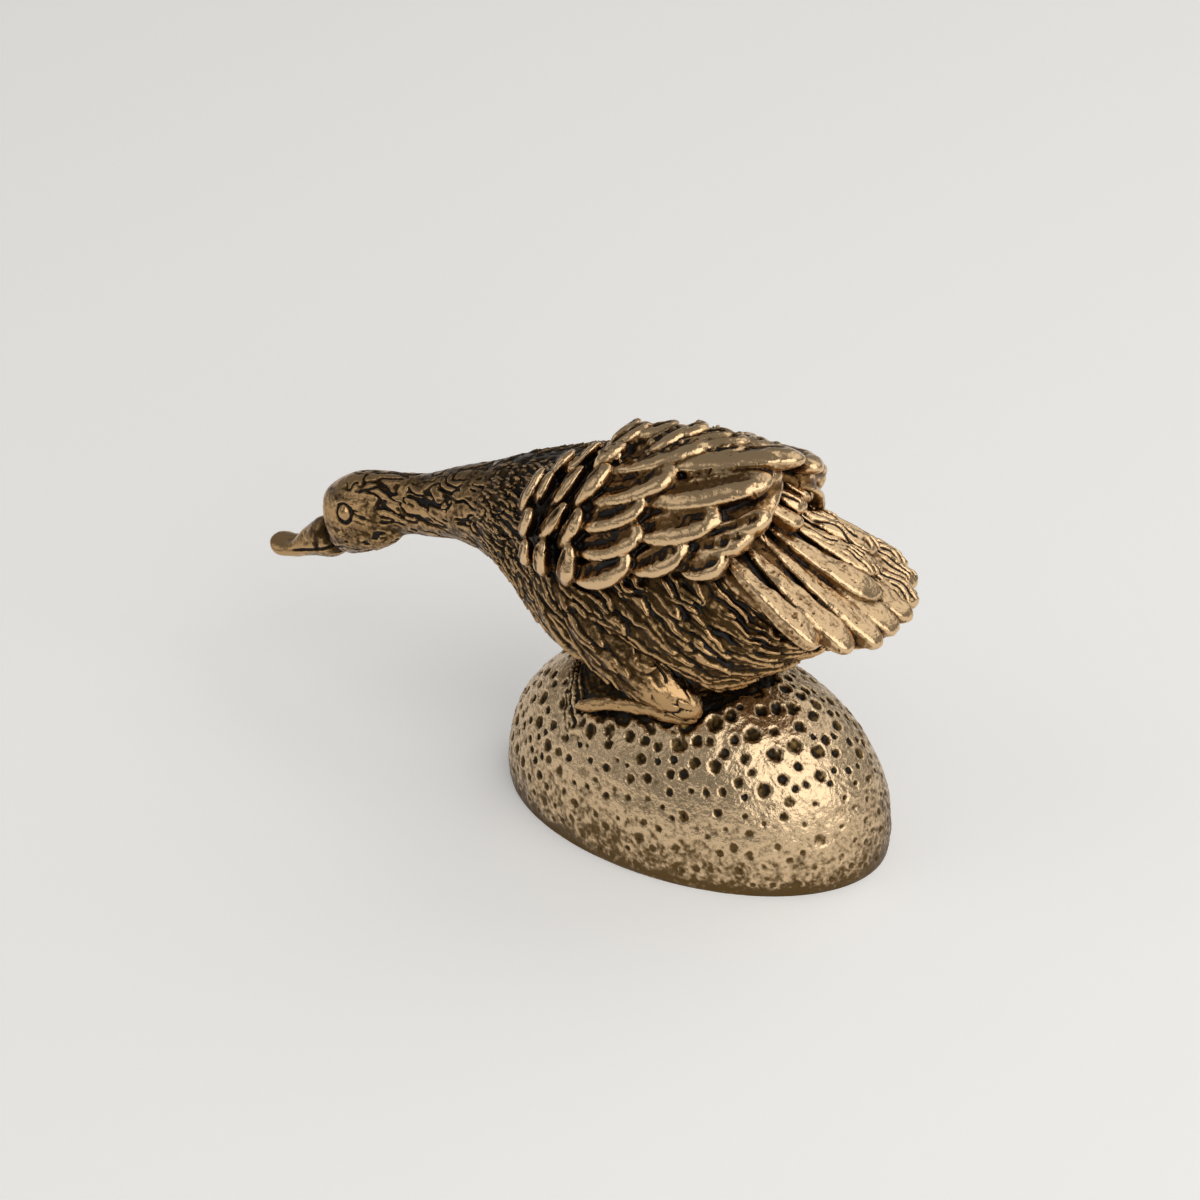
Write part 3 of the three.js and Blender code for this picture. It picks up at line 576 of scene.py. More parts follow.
def openness(pieces, cell=SKY_CELL, reach=SKY_REACH, ways=SKY_MAPS):
    """Share of the sky that each corner sees past the metal, from depth maps taken all round."""
    cloud = np.concatenate([points_of(p.data) for p in pieces]) / MM
    outward = np.concatenate([normals_of(p.data) for p in pieces])
    middle = (cloud.min(0) + cloud.max(0)) / 2
    cloud = cloud - middle
    span = int(2 * np.linalg.norm(cloud, axis=1).max() / cell) + 3
    seen, total = np.zeros(len(cloud)), np.full(len(cloud), 1e-6)
    for k in range(ways):
        z = 1 - (2 * k + 1) / ways
        turn = k * math.pi * (3 - math.sqrt(5))
        way = np.array([math.sqrt(1 - z * z) * math.cos(turn), math.sqrt(1 - z * z) * math.sin(turn), z])
        side = np.cross(way, (0, 0, 1) if abs(z) < 0.9 else (1, 0, 0))
        side /= np.linalg.norm(side)
        up = np.cross(way, side)
        column = (cloud @ side / cell + span / 2).astype(np.int64)
        row = (cloud @ up / cell + span / 2).astype(np.int64)
        index = column * span + row
        deep = cloud @ way
        nearest = np.full(span * span, -1e9)
        np.maximum.at(nearest, index, deep)
        facing = outward @ way
        slack = 0.1 + 0.9 * cell * np.sqrt(np.maximum(1 - facing ** 2, 0)) / np.maximum(facing, 0.15)
        over = nearest[index] - deep - slack
        weight = np.maximum(facing, 0)
        seen += weight * np.where(over > 0, 1 - np.exp(-over / reach), 1)
        total += weight
    return seen / total


def shade_and_age_pieces(pieces):
    """Writes on every corner how deep it lies and how much it was rubbed, as patina in recesses with
    painted ambient shade where little sky is seen and painted light where much is seen.
    """
    open_sky = openness(pieces)
    start = 0
    for piece in pieces:
        mesh = piece.data
        points = points_of(mesh) / MM
        normals = normals_of(mesh)
        edges = edges_of(mesh)
        edges = edges[away_from(points[edges[:, 0]], points[edges[:, 1]]) < LONGEST_EDGE]
        sky = open_sky[start:start + len(points)]
        start += len(points)
        edge = 0.4 + 0.6 * ramp(0.2, 1.2, points[:, 2])
        near = np.sum((eased(points, edges, 4) - points) * normals, 1) * edge
        far = np.sum((eased(points, edges, 40) - points) * normals, 1) * edge
        stain, rim = share_of(mesh, "stain"), share_of(mesh, "rim")
        # Painted ambient shade: the sky term darkens the hollow share where little sky is seen and
        # lightens the crest share as painted light where much is seen; the bends of the skin give the
        # patina
        hollow = 0.06 + 1.6 * np.maximum(0.72 - sky, -0.08) + 8 * near + 1.8 * far + stain
        crest = 0.35 - 9 * near - 1.6 * far + 0.45 * rim + 0.6 * (sky - 0.75) - stain
        set_shares(mesh, hollow=hollow, crest=crest)


# Materials


def add_node(tree, kind, inputs=(), **settings):
    """Adds a node with its settings, and links or sets its inputs."""
    node = tree.nodes.new(kind)
    for name, value in settings.items():
        setattr(node, name, value)
    for name, value in dict(inputs).items():
        if isinstance(value, bpy.types.NodeSocket):
            tree.links.new(value, node.inputs[name])
        else:
            node.inputs[name].default_value = value
    return node


def cast_brass(name, colours, low_rough, high_rough, grain_mm, bite):
    """Cast brass that was blackened and rubbed: bright yellow crests, brown flanks, black hollows, with
    painted shade and painted light in the shares that place them.
    """
    material = bpy.data.materials.new(name)
    material.use_nodes = True
    tree = material.node_tree
    tree.nodes.clear()
    bright, middle, brown, black = colours
    stain_rough, tarnish_metal = 0.42, 0.35

    def add(kind, inputs=(), pick=0, **settings):
        return add_node(tree, kind, inputs, **settings).outputs[pick]

    # Noise in blotches of about 1 mm, in flecks of a third of that and in the casting grain
    place = add("ShaderNodeTexCoord", pick="Object")
    noises = []
    for scale, detail in ((900.0, 4.0), (2800.0, 3.0), (1000 / grain_mm, 3.0)):
        noises.append(add("ShaderNodeTexNoise", {"Vector": place, "Scale": scale, "Detail": detail}))
    blotches, flecks, casting = noises

    # How deep and how rubbed the skin is, patina and wear with painted shade and light in both shares,
    # each broken up by noise
    skins = []
    for source, layers in (("crest", ((blotches, 0.1), (flecks, 0.16))), ("hollow", ((blotches, 0.12),))):
        value = add("ShaderNodeAttribute", pick="Fac", attribute_name=source)
        for noise, spread in layers:
            limits = {"From Min": 0.3, "From Max": 0.7, "To Min": -spread, "To Max": spread}
            shift = add("ShaderNodeMapRange", {"Value": noise, **limits})
            value = add("ShaderNodeMath", {0: value, 1: shift}, operation="ADD")
        skins.append(value)
    wear_and_light, deep = skins

    # Rubbed crests, brown flanks and black hollows, each laid over the one before; the crests also lay
    # painted light, and the brown and black lay painted shade
    zones = []
    colour = middle
    layers = ((wear_and_light, 0.4, 0.86, bright), (deep, 0.28, 0.62, brown), (deep, 0.55, 0.95, black))
    for value, low, high, over in layers:
        limits = {"Value": value, "From Min": low, "From Max": high}
        zone = add("ShaderNodeMapRange", limits, interpolation_type="SMOOTHSTEP")
        colour = add("ShaderNodeMix", {0: zone, 6: colour, 7: over}, 2, data_type="RGBA")
        zones.append(zone)

    limits = ((high_rough, low_rough), (low_rough, stain_rough), (1.0, tarnish_metal))
    rubbed_rough, stained_rough, metal = [
        add("ShaderNodeMapRange", {"Value": zone, "To Min": low, "To Max": high})
        for zone, (low, high) in zip(zones, limits)
    ]
    roughness = add("ShaderNodeMath", {0: rubbed_rough, 1: stained_rough}, operation="MAXIMUM")
    relief = add("ShaderNodeBump", {"Height": casting, "Strength": bite, "Distance": 0.5 * grain_mm * MM})
    surface = {"Base Color": colour, "Roughness": roughness, "Metallic": metal, "Normal": relief}
    shader = add("ShaderNodeBsdfPrincipled", surface)
    add_node(tree, "ShaderNodeOutputMaterial", {"Surface": shader})
    return material


# Finish of each slot: its name, the settings that it takes its colours from, the brown and the
# black of the hollows, roughness of the rubbed crests and of the aged skin, size of the casting
# grain in millimetres and how strongly it shows
FINISHES = {
    "antique_brass": (
        "antique cast brass", "antique_crest", "antique_skin", "#251a10", "#0c0805", 0.2, 0.36, 0.18, 0.35
    ),
    "polished_brass": (
        "polished cast brass", "polished_crest", "polished_skin", "#2c1f14", "#0e0906", 0.2, 0.36, 0.2, 0.3
    ),
    "hammered_brass": (
        "hammered brass", "hammered_crest", "hammered_skin", "#352815", "#120d08", 0.25, 0.4, 0.3, 0.6
    ),
    "rod": ("drawn brass rod", "rod_skin", "rod_skin", "#6b5027", "#3a2a14", 0.3, 0.4, 0.3, 0.2),
}


def finish_of(slot_name):
    """The material of one slot, made once."""
    name, crest, aged, brown, black, *surface = FINISHES[slot_name]
    if name not in bpy.data.materials:
        settings = bpy.context.scene.goose
        colours = [tuple(getattr(settings, crest)), tuple(getattr(settings, aged))]
        cast_brass(name, colours + [hex_colour(brown), hex_colour(black)], *surface)
    return bpy.data.materials[name]


# Pieces

# Larger pits on the left side of the egg: x, z and radius
EGG_PITS = (
    (-5.1, 9.4, 0.62), (-3.4, 10, 0.55), (-3.1, 9.3, 0.45), (-1.5, 10.2, 0.5), (-0.2, 10.3, 0.46),
    (1, 10.2, 0.42), (2.6, 10.7, 0.64), (3.8, 11.1, 0.5), (4.5, 12.2, 0.62), (5.3, 12.6, 0.52),
    (4.7, 11.2, 0.44), (6.3, 11.4, 0.4), (7.3, 11.7, 0.66), (6, 10.6, 0.48), (5.7, 9.8, 0.54),
    (4.2, 9.8, 0.5), (3.6, 8.9, 0.46), (2.6, 8.7, 0.43), (0, 9.1, 0.5), (-1, 8.4, 0.27),
    (-0.5, 7.6, 0.4), (0.8, 8, 0.45), (2.9, 7.5, 0.39), (-2.7, 7.7, 0.4), (-4.3, 7.6, 0.32),
    (-5, 8.4, 0.22), (-1.9, 8.5, 0.18), (7.9, 12.7, 0.6), (7, 12.75, 0.5), (8.6, 12.5, 0.6),
    (10, 11.8, 0.52), (9.3, 10.6, 0.6), (10.2, 10.9, 0.6), (9.8, 11.7, 0.5), (9.5, 8.5, 0.6),
    (11.9, 8.7, 0.33), (11.3, 7.7, 0.42), (11.2, 6.7, 0.4), (13.7, 4.7, 0.56), (7.5, 10.4, 0.42),
    (8.3, 9.6, 0.36), (7.7, 8.9, 0.42), (5.6, 8, 0.38), (6.8, 8.2, 0.38), (6.8, 6.7, 0.42),
    (8.7, 6.7, 0.3), (4.3, 6, 0.48), (3.5, 5.7, 0.3), (1.3, 4.8, 0.38), (2.6, 4.6, 0.36),
    (1, 3.3, 0.56), (2.2, 2.8, 0.34), (4, 3.4, 0.42), (-2.3, 5.7, 0.38), (-4.2, 5.7, 0.24),
    (-6.4, 4.3, 0.34), (-6.4, 1.7, 0.28), (-4.3, 1.6, 0.46), (-8.5, 5.8, 0.42), (-6.5, 6.9, 0.38),
    (8.3, 4.2, 0.44), (7.4, 3.6, 0.34), (9.5, 3.7, 0.46), (5.7, 1.9, 0.36), (12.1, 3.3, 0.34),
    (8.9, 2.2, 0.34),
)


def egg_pits():
    """Places, radii and depths of the hammered pits: the larger ones first, then smaller between."""
    rng = np.random.default_rng(7)
    spots, sizes, depths = [], [], []
    for x, z, radius in EGG_PITS:
        wide = 1 - (x / EGG_HALF[0]) ** 2 - ((z - EGG_WAIST) / EGG_HALF[2]) ** 2
        y = -EGG_HALF[1] * math.sqrt(max(wide, 0))
        spots.append((x, y, z))
        sizes.append(radius * 1.12)
        depths.append(0.1 + 0.26 * radius * float(ramp(1, 8.5, z)))
    for _ in range(PIT_TRIES):
        way = rng.normal(size=3)
        way /= np.linalg.norm(way)
        spot = way * EGG_HALF + (0, 0, EGG_WAIST)
        size, deep = rng.random(2)
        front = ramp(-6, -9, spot[0]) * ramp(2, 5, spot[2])
        high = float(max(ramp(6.5, 9.0, spot[2]), front))
        radius = 0.28 + 0.22 * size ** 2 + high * 0.18 * size
        room = 1.05 * (np.array(sizes) + radius) + 0.45 * (1 - 0.9 * high)
        near = away_from(np.array(spots), spot) < room
        if spot[2] < LOWEST_PIT or past_hollow(spot) < 0.3 or np.any(near):
            continue
        spots.append(tuple(spot))
        sizes.append(radius)
        depths.append(0.09 + 0.05 * deep + 0.12 * high)
    return list(zip(np.array(spots), sizes, depths))


def build_egg(settings):
    mesh, polar, turn = ball(*(((116, 76, 2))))
    theta = math.pi * polar
    unit = np.stack([-np.cos(theta), -np.sin(theta) * np.sin(turn), np.sin(theta) * np.cos(turn)], 1)
    piece = piece_from("egg", [plain_lobe(mesh, unit * EGG_HALF + (0, 0, EGG_WAIST))])
    mesh = piece.data
    bm = bmesh.new()
    bm.from_mesh(mesh)
    geom = bm.verts[:] + bm.edges[:] + bm.faces[:]
    bmesh.ops.bisect_plane(bm, geom=geom, plane_co=(0, 0, 0), plane_no=(0, 0, 1), clear_inner=True)
    rim = [e for e in bm.edges if e.is_boundary]
    bmesh.ops.contextual_create(bm, geom=rim)
    bmesh.ops.triangulate(bm, faces=[f for f in bm.faces if len(f.verts) > 4])
    bm.to_mesh(mesh)
    bm.free()
    points = points_of(mesh)
    x, y, z = points.T
    height = sum(rough(points / size, seed) * rise for size, seed, rise in EGG_ROUGHNESS)
    wobble = (grain(points / 0.45, 11) - 0.5) * 0.28
    rugged = (grain(points / 0.25, 12) - 0.5) * 0.12
    stain = np.zeros(len(points))
    for spot, radius, depth in egg_pits():
        depth *= settings.pit_depth
        near = np.nonzero(np.abs(points - spot).max(1) < 2.2 * radius)[0]
        away = away_from(points[near], spot) / radius + wobble[near]
        inside = np.maximum(1 - away ** 2, 0)
        crisp = float(ramp(0.14, 0.24, depth))
        height[near] -= depth * inside ** (1.35 - 0.45 * crisp)
        height[near] += crisp * (rugged[near] * (inside > 0) + 0.05 * bump(away, 1.12, 0.16))
        stain[near] += ramp(0, 0.6, inside) * (0.25 * crisp - 0.07)
    beside = past_hollow(points)
    front = ramp(-4, -7, x)
    ragged = (1.3 + 1.6 * front) * rough(points / 0.9, 15)
    # Painted shade: the hollow under the foot and belly is sunk and darkened as the shade of the goose on
    # the egg
    hollow = ramp(0.45 + 0.5 * front, -0.35 - 0.5 * front, beside + ragged)
    ridges = front * bump(beside, 0.2, 1.5) * np.sin((beside + 0.3 * ragged) / 0.75 * math.tau)
    height += hollow * ((grain(points / 0.32, 16) - 0.5) * 0.16 - 0.33) + 0.14 * ridges
    raise_skin(mesh, height * ramp(0, 0.3, z))
    mottle = rough(points / 1.5, 14)
    fine = rough(points / 0.35, 17)
    # Painted dark reflection: the lower egg is made darker and less rubbed
    low = ramp(12, -3, z + 2.5 * mottle)
    # Painted highlight: the end that mirrors the window lamp stays rubbed and bright
    highlight_end = ramp(0, 11, x + 4 * mottle) * ramp(0, -5, y) * ramp(-1, 6, z)
    near_side = ramp(4, -2, y)
    # Dark share: painted dark reflection low down with tarnished noise in it, a little darker on the far
    # side and towards the bottom edge
    painted_dark_and_tarnish = (0.1 + 0.12 * fine) * low * (1 - 0.8 * highlight_end) + 0.06 * (1 - near_side)
    painted_dark_and_tarnish += 0.15 * ramp(1.4, 0.2, z)
    # Rubbed share: painted highlight at the lit end, less on the lower egg as painted dark reflection, and
    # less on the far side
    wear_and_light = (0.9 - 0.95 * low * (1 - 0.45 * highlight_end)) * (0.65 + 0.35 * near_side) + 0.5 * fine
    # The hollow's painted shade is added to the dark share and taken from the rubbed one
    set_shares(mesh, stain=stain + painted_dark_and_tarnish + 0.6 * hollow, rim=wear_and_light * (1 - hollow))
    points = points_of(mesh)
    points[:, 2] = np.maximum(points[:, 2], 0)
    set_points(mesh, points)
    return piece


def tuft_rows(seed, x_span, v_span, step, length, width, rise):
    """Rows of tufts on the goose's form: place, heading, length, width, rise and wave of each."""
    rng = np.random.default_rng(seed)
    tufts = []
    for k, u in enumerate(np.arange(*x_span, step[0])):
        for v in np.arange(v_span[0] + (k % 2) * step[1] / 2, v_span[1], step[1]):
            jitter = rng.normal(size=5)
            tufts.append((
                u + 0.25 * step[0] * jitter[0],
                v + 0.22 * step[1] * jitter[1],
                flow_back(u) + 0.13 * jitter[2],
                length * (1 + 0.2 * jitter[3]),
                width * (1 + 0.15 * jitter[4]),
                rise * (0.7 + 0.5 * rng.random()),
                rng.random(),
            ))
    return tufts


def flow_back(x):
    """Heading of the tufts: backwards and down, steeper towards the vent."""
    return 0.42 + 0.33 * ramp(-8, 9, x)


def flank_relief(points):
    """Long tufts of the breast, the flanks and the thighs: their height and what shaped them."""
    turn = turn_from_ridge(points)
    warp = warps(points / (1.6, 0.9, 0.9), (31, 32, 33))
    ragged = 0.4 * (grain(points / 0.6, 39) - 0.5)
    tufts = tuft_rows(21, (-17, 12.5), (0, 25), (1.75, 0.95), 4.8, 1.45, 0.85)
    u, v = points[:, 0] + 0.4 * warp[:, 0], 8 * turn + 0.6 * warp[:, 1]
    return tuft_heights(u, v, tufts, ragged), turn, warp, ragged


def goose_relief(points, carving):
    """Height, stain and rim of the carved plumage on the goose's own skin, neck and body alike."""
    x, y, z = points.T
    low, turn, warp, ragged = flank_relief(points)
    veins = grain(points / (1.7, 0.6, 0.6) + warp * 1.4, 34) - 0.5
    breaks = ramp(0.28, 0.45, grain(points / (1.1, 0.7, 0.7), 36))
    neck = ramp(-33, -31, x) * ramp(-9.5, -13.5, x)
    bold = 0.3 + 0.7 * ramp(0.35, 0.8, turn) * (1 - 0.85 * ramp(1.5, 2.0, turn))
    crown = ramp(-24, -29, x) * ramp(18.2, 19.6, z) * ramp(-34, -33, x)
    bold = np.maximum(bold, 0.6 * crown)
    cheek = ramp(-26, -29, x) * (1 - 0.75 * ramp(17.6, 18.4, z))
    cut = bump(veins, 0, 0.085) * breaks * neck * bold * (1 - 0.85 * cheek)
    dashes = ramp(0.7, 0.82, grain(points / (0.9, 0.35, 0.35) + 9, 37)) * neck
    dashes *= 0.4 + 0.6 * ramp(1.3, 1.9, turn)
    height = -0.36 * cut - 0.18 * dashes
    body = ramp(-14, -10, x)
    small = tuft_rows(22, (-19, -7), (1, 24), (0.85, 0.8), 1.35, 0.78, 0.34)
    flank = ramp(-12, -8, x)
    tiny = tuft_heights(x, 8 * turn, small, ragged)
    height += low * flank + tiny * (1 - flank) * ramp(-19, -15, x)
    height -= 0.2 * ramp(-18, -10, x)
    height += rough(points / 0.5, 38) * (0.08 + 0.18 * body)
    gaps = ramp(0.3, 0.05, low) * flank + ramp(0.14, 0, tiny) * neck * ramp(-19, -15, x)
    vent = ramp(8.6, 10.6, x) * ramp(1.7, 2.1, turn)
    pores = vent * ramp(0.45, 0.65, grain(points / 0.75, 44))
    height -= 0.35 * pores
    furrow = bump(gap_to(points[:, ::2], THIGH_FURROW), 0, 0.55) * (np.abs(y) > 3)
    height -= 0.7 * furrow
    streaks = rough(points / (2.6, 0.8, 0.8), 40)
    golden = bump(turn, 1.05, 0.5) * neck * (0.5 + 0.5 * ramp(-16, -30, x))
    golden = np.maximum(golden, 0.9 * bump(turn, 0.9, 0.8) * ramp(-29, -33, x))
    rim = 0.8 * ramp(0.6, 0.95, low) * flank + 0.7 * golden * ramp(-0.15, 0.15, streaks)
    rim += 0.45 * crown * (1 - cut) + 0.6 * vent * (1 - pores)
    stain = 0.5 * pores + 0.75 * cut + 0.5 * dashes + 0.4 * gaps + 0.5 * furrow + 0.1 * flank
    return carving * height, stain, rim


def build_body(settings):
    lobe = form_lobe(GOOSE_ROWS[COLLAR_ROW - 1:], 105, 60, 2)
    piece = piece_from("goose_body", [lobe])
    mesh = piece.data
    points = points_of(mesh)
    height, stain, rim = goose_relief(points, settings.carving)
    height -= 0.3 * ramp(-14.8, -15.6, points[:, 0])
    raise_skin(mesh, height)
    set_shares(mesh, stain=stain, rim=rim)
    return piece


def build_neck_and_head(settings):
    lobes = [form_lobe(GOOSE_ROWS[:COLLAR_ROW + 2], 96, 140)]
    mesh, polar, turn = ball(64, 64)
    points = skin(BILL_ROWS, polar, turn, 0)
    x, y, z = points.T
    share = ramp(-40.7, -34.5, x)
    spoon = bump(y, 0, 0.9) * (np.cos(turn) > 0) * ramp(0.05, 0.3, share)
    z -= 0.45 * spoon * ramp(0.6, 0.25, share)
    z += 0.35 * bump(x, -40.3, 0.7)
    z += 0.5 * bump(x, -36.6, 1.6) * np.clip(np.cos(turn), 0, 1)
    lobes.append(plain_lobe(mesh, points))
    for side in (-1, 1):
        lobes.append(rod_lobe((-34.2, side * 1.3, 14.3), (-26.6, side * 1.1, 17.6), 1.15, 1.85))
        for x, y, z, half, tipped in HEAD_OVALS:
            lobes.append(oval_lobe((x, side * y, z), half, tipped))
    piece = fused(piece_from("goose_neck_and_head", lobes), 1.12 * settings.cell / MM)
    mesh = piece.data
    smooth_mesh(mesh, 2)
    points = points_of(mesh)
    x, y, z = points.T
    height, stain, rim = goose_relief(points, settings.carving)
    for side in (-1, 1):
        eye = away_from(points, (-31.5, side * 2.5, 17.8), (0.85, 1, 1))
        ring = bump(eye, 0.86, 0.13)
        open_eye = ramp(0.5, 1.1, eye)
        nostril = bump(away_from(points, (-35.1, side * 1.5, 13.2), (0.5, 1, 1)), 0, 0.5)
        lore = bump(away_from(points, (-34.2, side * 1.5, 14.9), (1, 1, 0.8)), 0, 0.8)
        mouth_z = 11.75 + 0.3 * (x + 38) + 0.02 * (x + 38) ** 2
        mouth = bump(z, mouth_z, 0.12) * ramp(-38.5, -36.5, x)
        mouth *= ramp(-31.6, -32.6, x) * (y * side > 0.4)
        height = height * open_eye - 0.26 * ring - 0.25 * nostril - 0.25 * lore - 0.25 * mouth
        rim = np.maximum(rim, 1 - ramp(0.45, 0.75, eye))
        stain = np.maximum(stain, 0.6 * lore) * open_eye
        stain = np.maximum(stain, 0.7 * np.maximum(np.maximum(ring, nostril), mouth))
    root = bump(x + 0.5 * (z - 15), -34.3, 0.5) * (z > 12.6)
    height -= 0.12 * root
    stain = np.maximum(stain, 0.4 * root)
    height -= 0.3 * ramp(-14.2, -13.4, x)
    raise_skin(mesh, height)
    set_shares(mesh, stain=stain, rim=np.maximum(rim, 0.8 * ramp(-35.5, -38, x)))
    return piece


def build_wing(name, settings, drop, turned, mirrored):
    pad = (0, 0.2, 0.87, 0.12, 13.6 * (1 - turned), 0, 9)
    pad_build = (3.2, 1.45, -1.45, 0, 0, 4.5)
    mesh, points, marks = feather_lobe(WING_ROWS, pad, pad_build, drop, turned, 64, 64)
    lobes = [(mesh, points, 0.3 * marks)]
    lobes.append(feather_lobe(WING_ROWS, TIP_MASS, FEATHER_BUILDS["mass"], drop, turned))
    for table, kind in ((LONG_FEATHERS, "long"), (COVERTS, "covert"), (SCAPULARS, "scapular")):
        for feather in table:
            # The flank feathers under the tip are shorter on the right side
            if mirrored and kind == "covert" and feather[2] > 0.8:
                feather = feather[:2] + (feather[2] - 0.1,) + feather[3:]
            lobes.append(feather_lobe(WING_ROWS, feather, FEATHER_BUILDS[kind], drop, turned))
    piece = fused(piece_from(name, lobes, mirrored), 1.1 * settings.cell / MM)
    mesh = piece.data
    barbed(mesh, lobes, mirrored, 41)
    points = points_of(mesh)
    turn = turn_from_ridge(points)
    ragged = 0.5 * (grain(points / 0.6, 42) - 0.5)
    rows = tuft_rows(43, (-16, 12), (0, 6), (1.3, 0.8), 2.8, 1.1, 0.5)
    tufts = tuft_heights(points[:, 0], 8 * turn, rows, ragged)
    rim, stain = share_of(mesh, "rim"), share_of(mesh, "stain")
    back = ramp(0.25, 0.05, rim) * ramp(0.5, 0.3, turn) * ramp(5, 2.5, points[:, 0])
    raise_skin(mesh, (tufts - 0.2) * back)
    rim += 0.7 * back * ramp(0.25, 0.5, tufts)
    stain += 0.35 * back * ramp(0.15, 0.02, tufts)
    set_shares(mesh, stain=stain, rim=rim)
    return piece


def barbed(mesh, lobes, mirrored, seed):
    """Cuts barbs into the sunk bands of the feathers and stains them."""
    smooth_mesh(mesh, 1)
    points = points_of(mesh)
    band, rim = eased(marks_at(points, lobes, mirrored), edges_of(mesh), 2).T
    barbs = grain(points / (0.55, 0.9, 0.9), seed + 6) - 0.5
    wrinkles = bump(barbs, 0, 0.05)
    height = band * (0.35 * barbs - 0.13 * wrinkles)
    height += rough(points / 0.6, seed) * 0.12
    height += (grain(points / 1.2, seed + 8) - 0.5) * 0.22
    pits = ramp(0.86, 0.92, grain(points / 0.4, seed + 3))
    height -= 0.05 * pits * (1 - band)
    raise_skin(mesh, height)
    set_shares(mesh, stain=band * (0.47 + 0.25 * wrinkles - 1.2 * barbs) + 0.1 * pits, rim=rim)


def build_tail(settings):
    lobes = [tail_lobe(feather) for feather in TAIL_FEATHERS]
    for length, across, deep, half in RUMP:
        middle = tail_point(*np.array([[length], [across], [deep]]))[0]
        lobes.append(oval_lobe(middle, half, TAIL_DROOP))
    piece = fused(piece_from("tail", lobes), settings.cell / MM)
    mesh = piece.data
    barbed(mesh, lobes, False, 51)
    points = points_of(mesh)
    # Scratched streaks along the feathers of the fan's right half
    warp = warps(points / 1.6, (55, 56, 57))
    away = (points[:, 0] - TAIL_ROOT[0]) / math.cos(TAIL_DROOP)
    side = points[:, 1] - 0.27 * away
    streaks = np.abs(((side + 1.1 * warp[:, 0]) / 0.62) % 1 - 0.5) * 2
    zone = ramp(-1.2, 0.6, side) * ramp(0.1, 0.5, normals_of(mesh)[:, 2])
    zone *= ramp(0.3, 0.5, grain(points / 0.9, 58))
    raise_skin(mesh, -0.2 * zone * ramp(0.6, 0.15, streaks) + 0.1 * zone)
    return piece


def build_leg(name, settings, mirrored):
    lobes = [
        rod_lobe((-7.5, -7.0, 20.0), (2.6, -6.4, 13.6), 2.1, 2.6),
        rod_lobe((-4.0, -7.2, 17.7), (3.7, -6.0, 12.9), 1.8, 1.9),
        oval_lobe((2.35, -6.2, 13.7), (1.25, 1.3, 1.3)),
        rod_lobe((-7.0, -6.95, 10.55), (-2.4, -6.6, 12.3), 0.45, 0.6),
        rod_lobe((-5.0, -6.75, 11.6), (0.9, -6.45, 12.6), 0.5, 0.62),
        rod_lobe((-2.0, -6.55, 12.2), (3.5, -6.1, 12.5), 0.6, 0.75),
    ]
    piece = fused(piece_from(name, lobes, mirrored), settings.cell / MM)
    mesh = piece.data
    smooth_mesh(mesh, 3)
    points = points_of(mesh)
    x, y, z = points.T
    tufts = flank_relief(points)[0]
    upper = ramp(2.4, -1.5, x) * ramp(13.2, 14.4, z)
    height = (0.75 * tufts - 0.2) * upper + rough(points / 0.9, 61) * 0.2
    foot = ramp(0.9, 0.5, gap_to(points[:, ::2], FOOT_LINE)) * (x < 1)
    height += foot * rough(points / 0.8, 63) * 0.3
    down_limb = 0.85 * x - 0.53 * z
    over_limb = 0.53 * x + 0.85 * z
    strands = grain(np.stack([down_limb / 2.6, over_limb / 0.55, y / 0.8], 1), 64)
    cuts = bump(strands, 0.5, 0.05) * ramp(0.4, 0.6, grain(points / 1.3, 65))
    cuts *= (1 - upper) * (1 - foot)
    height -= 0.16 * cuts
    raise_skin(mesh, height)
    knob = away_from(points, (2.6, 6.6 if mirrored else -6.6, 14.2), (2.2, 2, 1.5))
    stain = 0.3 * cuts + 0.35 * ramp(0.3, 0.1, tufts) * upper
    rim = 1.1 * ramp(2.2, 0.4, knob) + 0.3 * (1 - upper) + 0.6 * foot
    rim += 0.8 * ramp(0.6, 0.95, tufts) * upper
    set_shares(mesh, stain=stain, rim=rim)
    return piece


# Stage: emission that keeps the paper white to the camera and in the reflections, grey light of
# the room, lamps with azimuth, elevation, distance, size and power, and the camera's azimuth and
# elevation, the middle of its picture across and up in millimetres, and the picture's scale
FLOOR_GLOW = 0.22
ROOM_COLOUR = (0.36, 0.358, 0.352, 1)
ROOM_LIGHT = 0.65
LAMPS = (
    ("window", 68, 38, 0.5, 0.58, 1.62), ("top", 160, 44, 0.5, 0.44, 0.45),
    ("fill", -50, 35, 0.6, 0.4, 0.25),
)
LAMPS_AIM = (0, 0, 0.015)
CAMERA_VIEW = (32, 32)
CAMERA_ANGLE = math.radians(20)
PICTURE_MIDDLE = (-7.62, 18.77)
PICTURE_HALF = 600
PIXELS_PER_MM = 13.2


def build_floor():
    bm = bmesh.new()
    bmesh.ops.create_grid(bm, x_segments=1, y_segments=1, size=3)
    floor = new_object("floor", new_mesh("floor", bm))
    floor.location.z = -0.02 * MM
    paper = bpy.data.materials.new("pale paper")
    paper.use_nodes = True
    tree = paper.node_tree
    ray = add_node(tree, "ShaderNodeLightPath").outputs
    rays = {0: ray["Is Camera Ray"], 1: ray["Is Glossy Ray"]}
    seen = add_node(tree, "ShaderNodeMath", rays, operation="MAXIMUM").outputs[0]
    glow = add_node(tree, "ShaderNodeMath", {0: seen, 1: FLOOR_GLOW}, operation="MULTIPLY").outputs[0]
    shader = tree.nodes["Principled BSDF"]
    shader.inputs["Base Color"].default_value = hex_colour("#f4f2ee")
    shader.inputs["Roughness"].default_value = 0.9
    tree.links.new(glow, shader.inputs["Emission Strength"])
    floor.data.materials.append(paper)


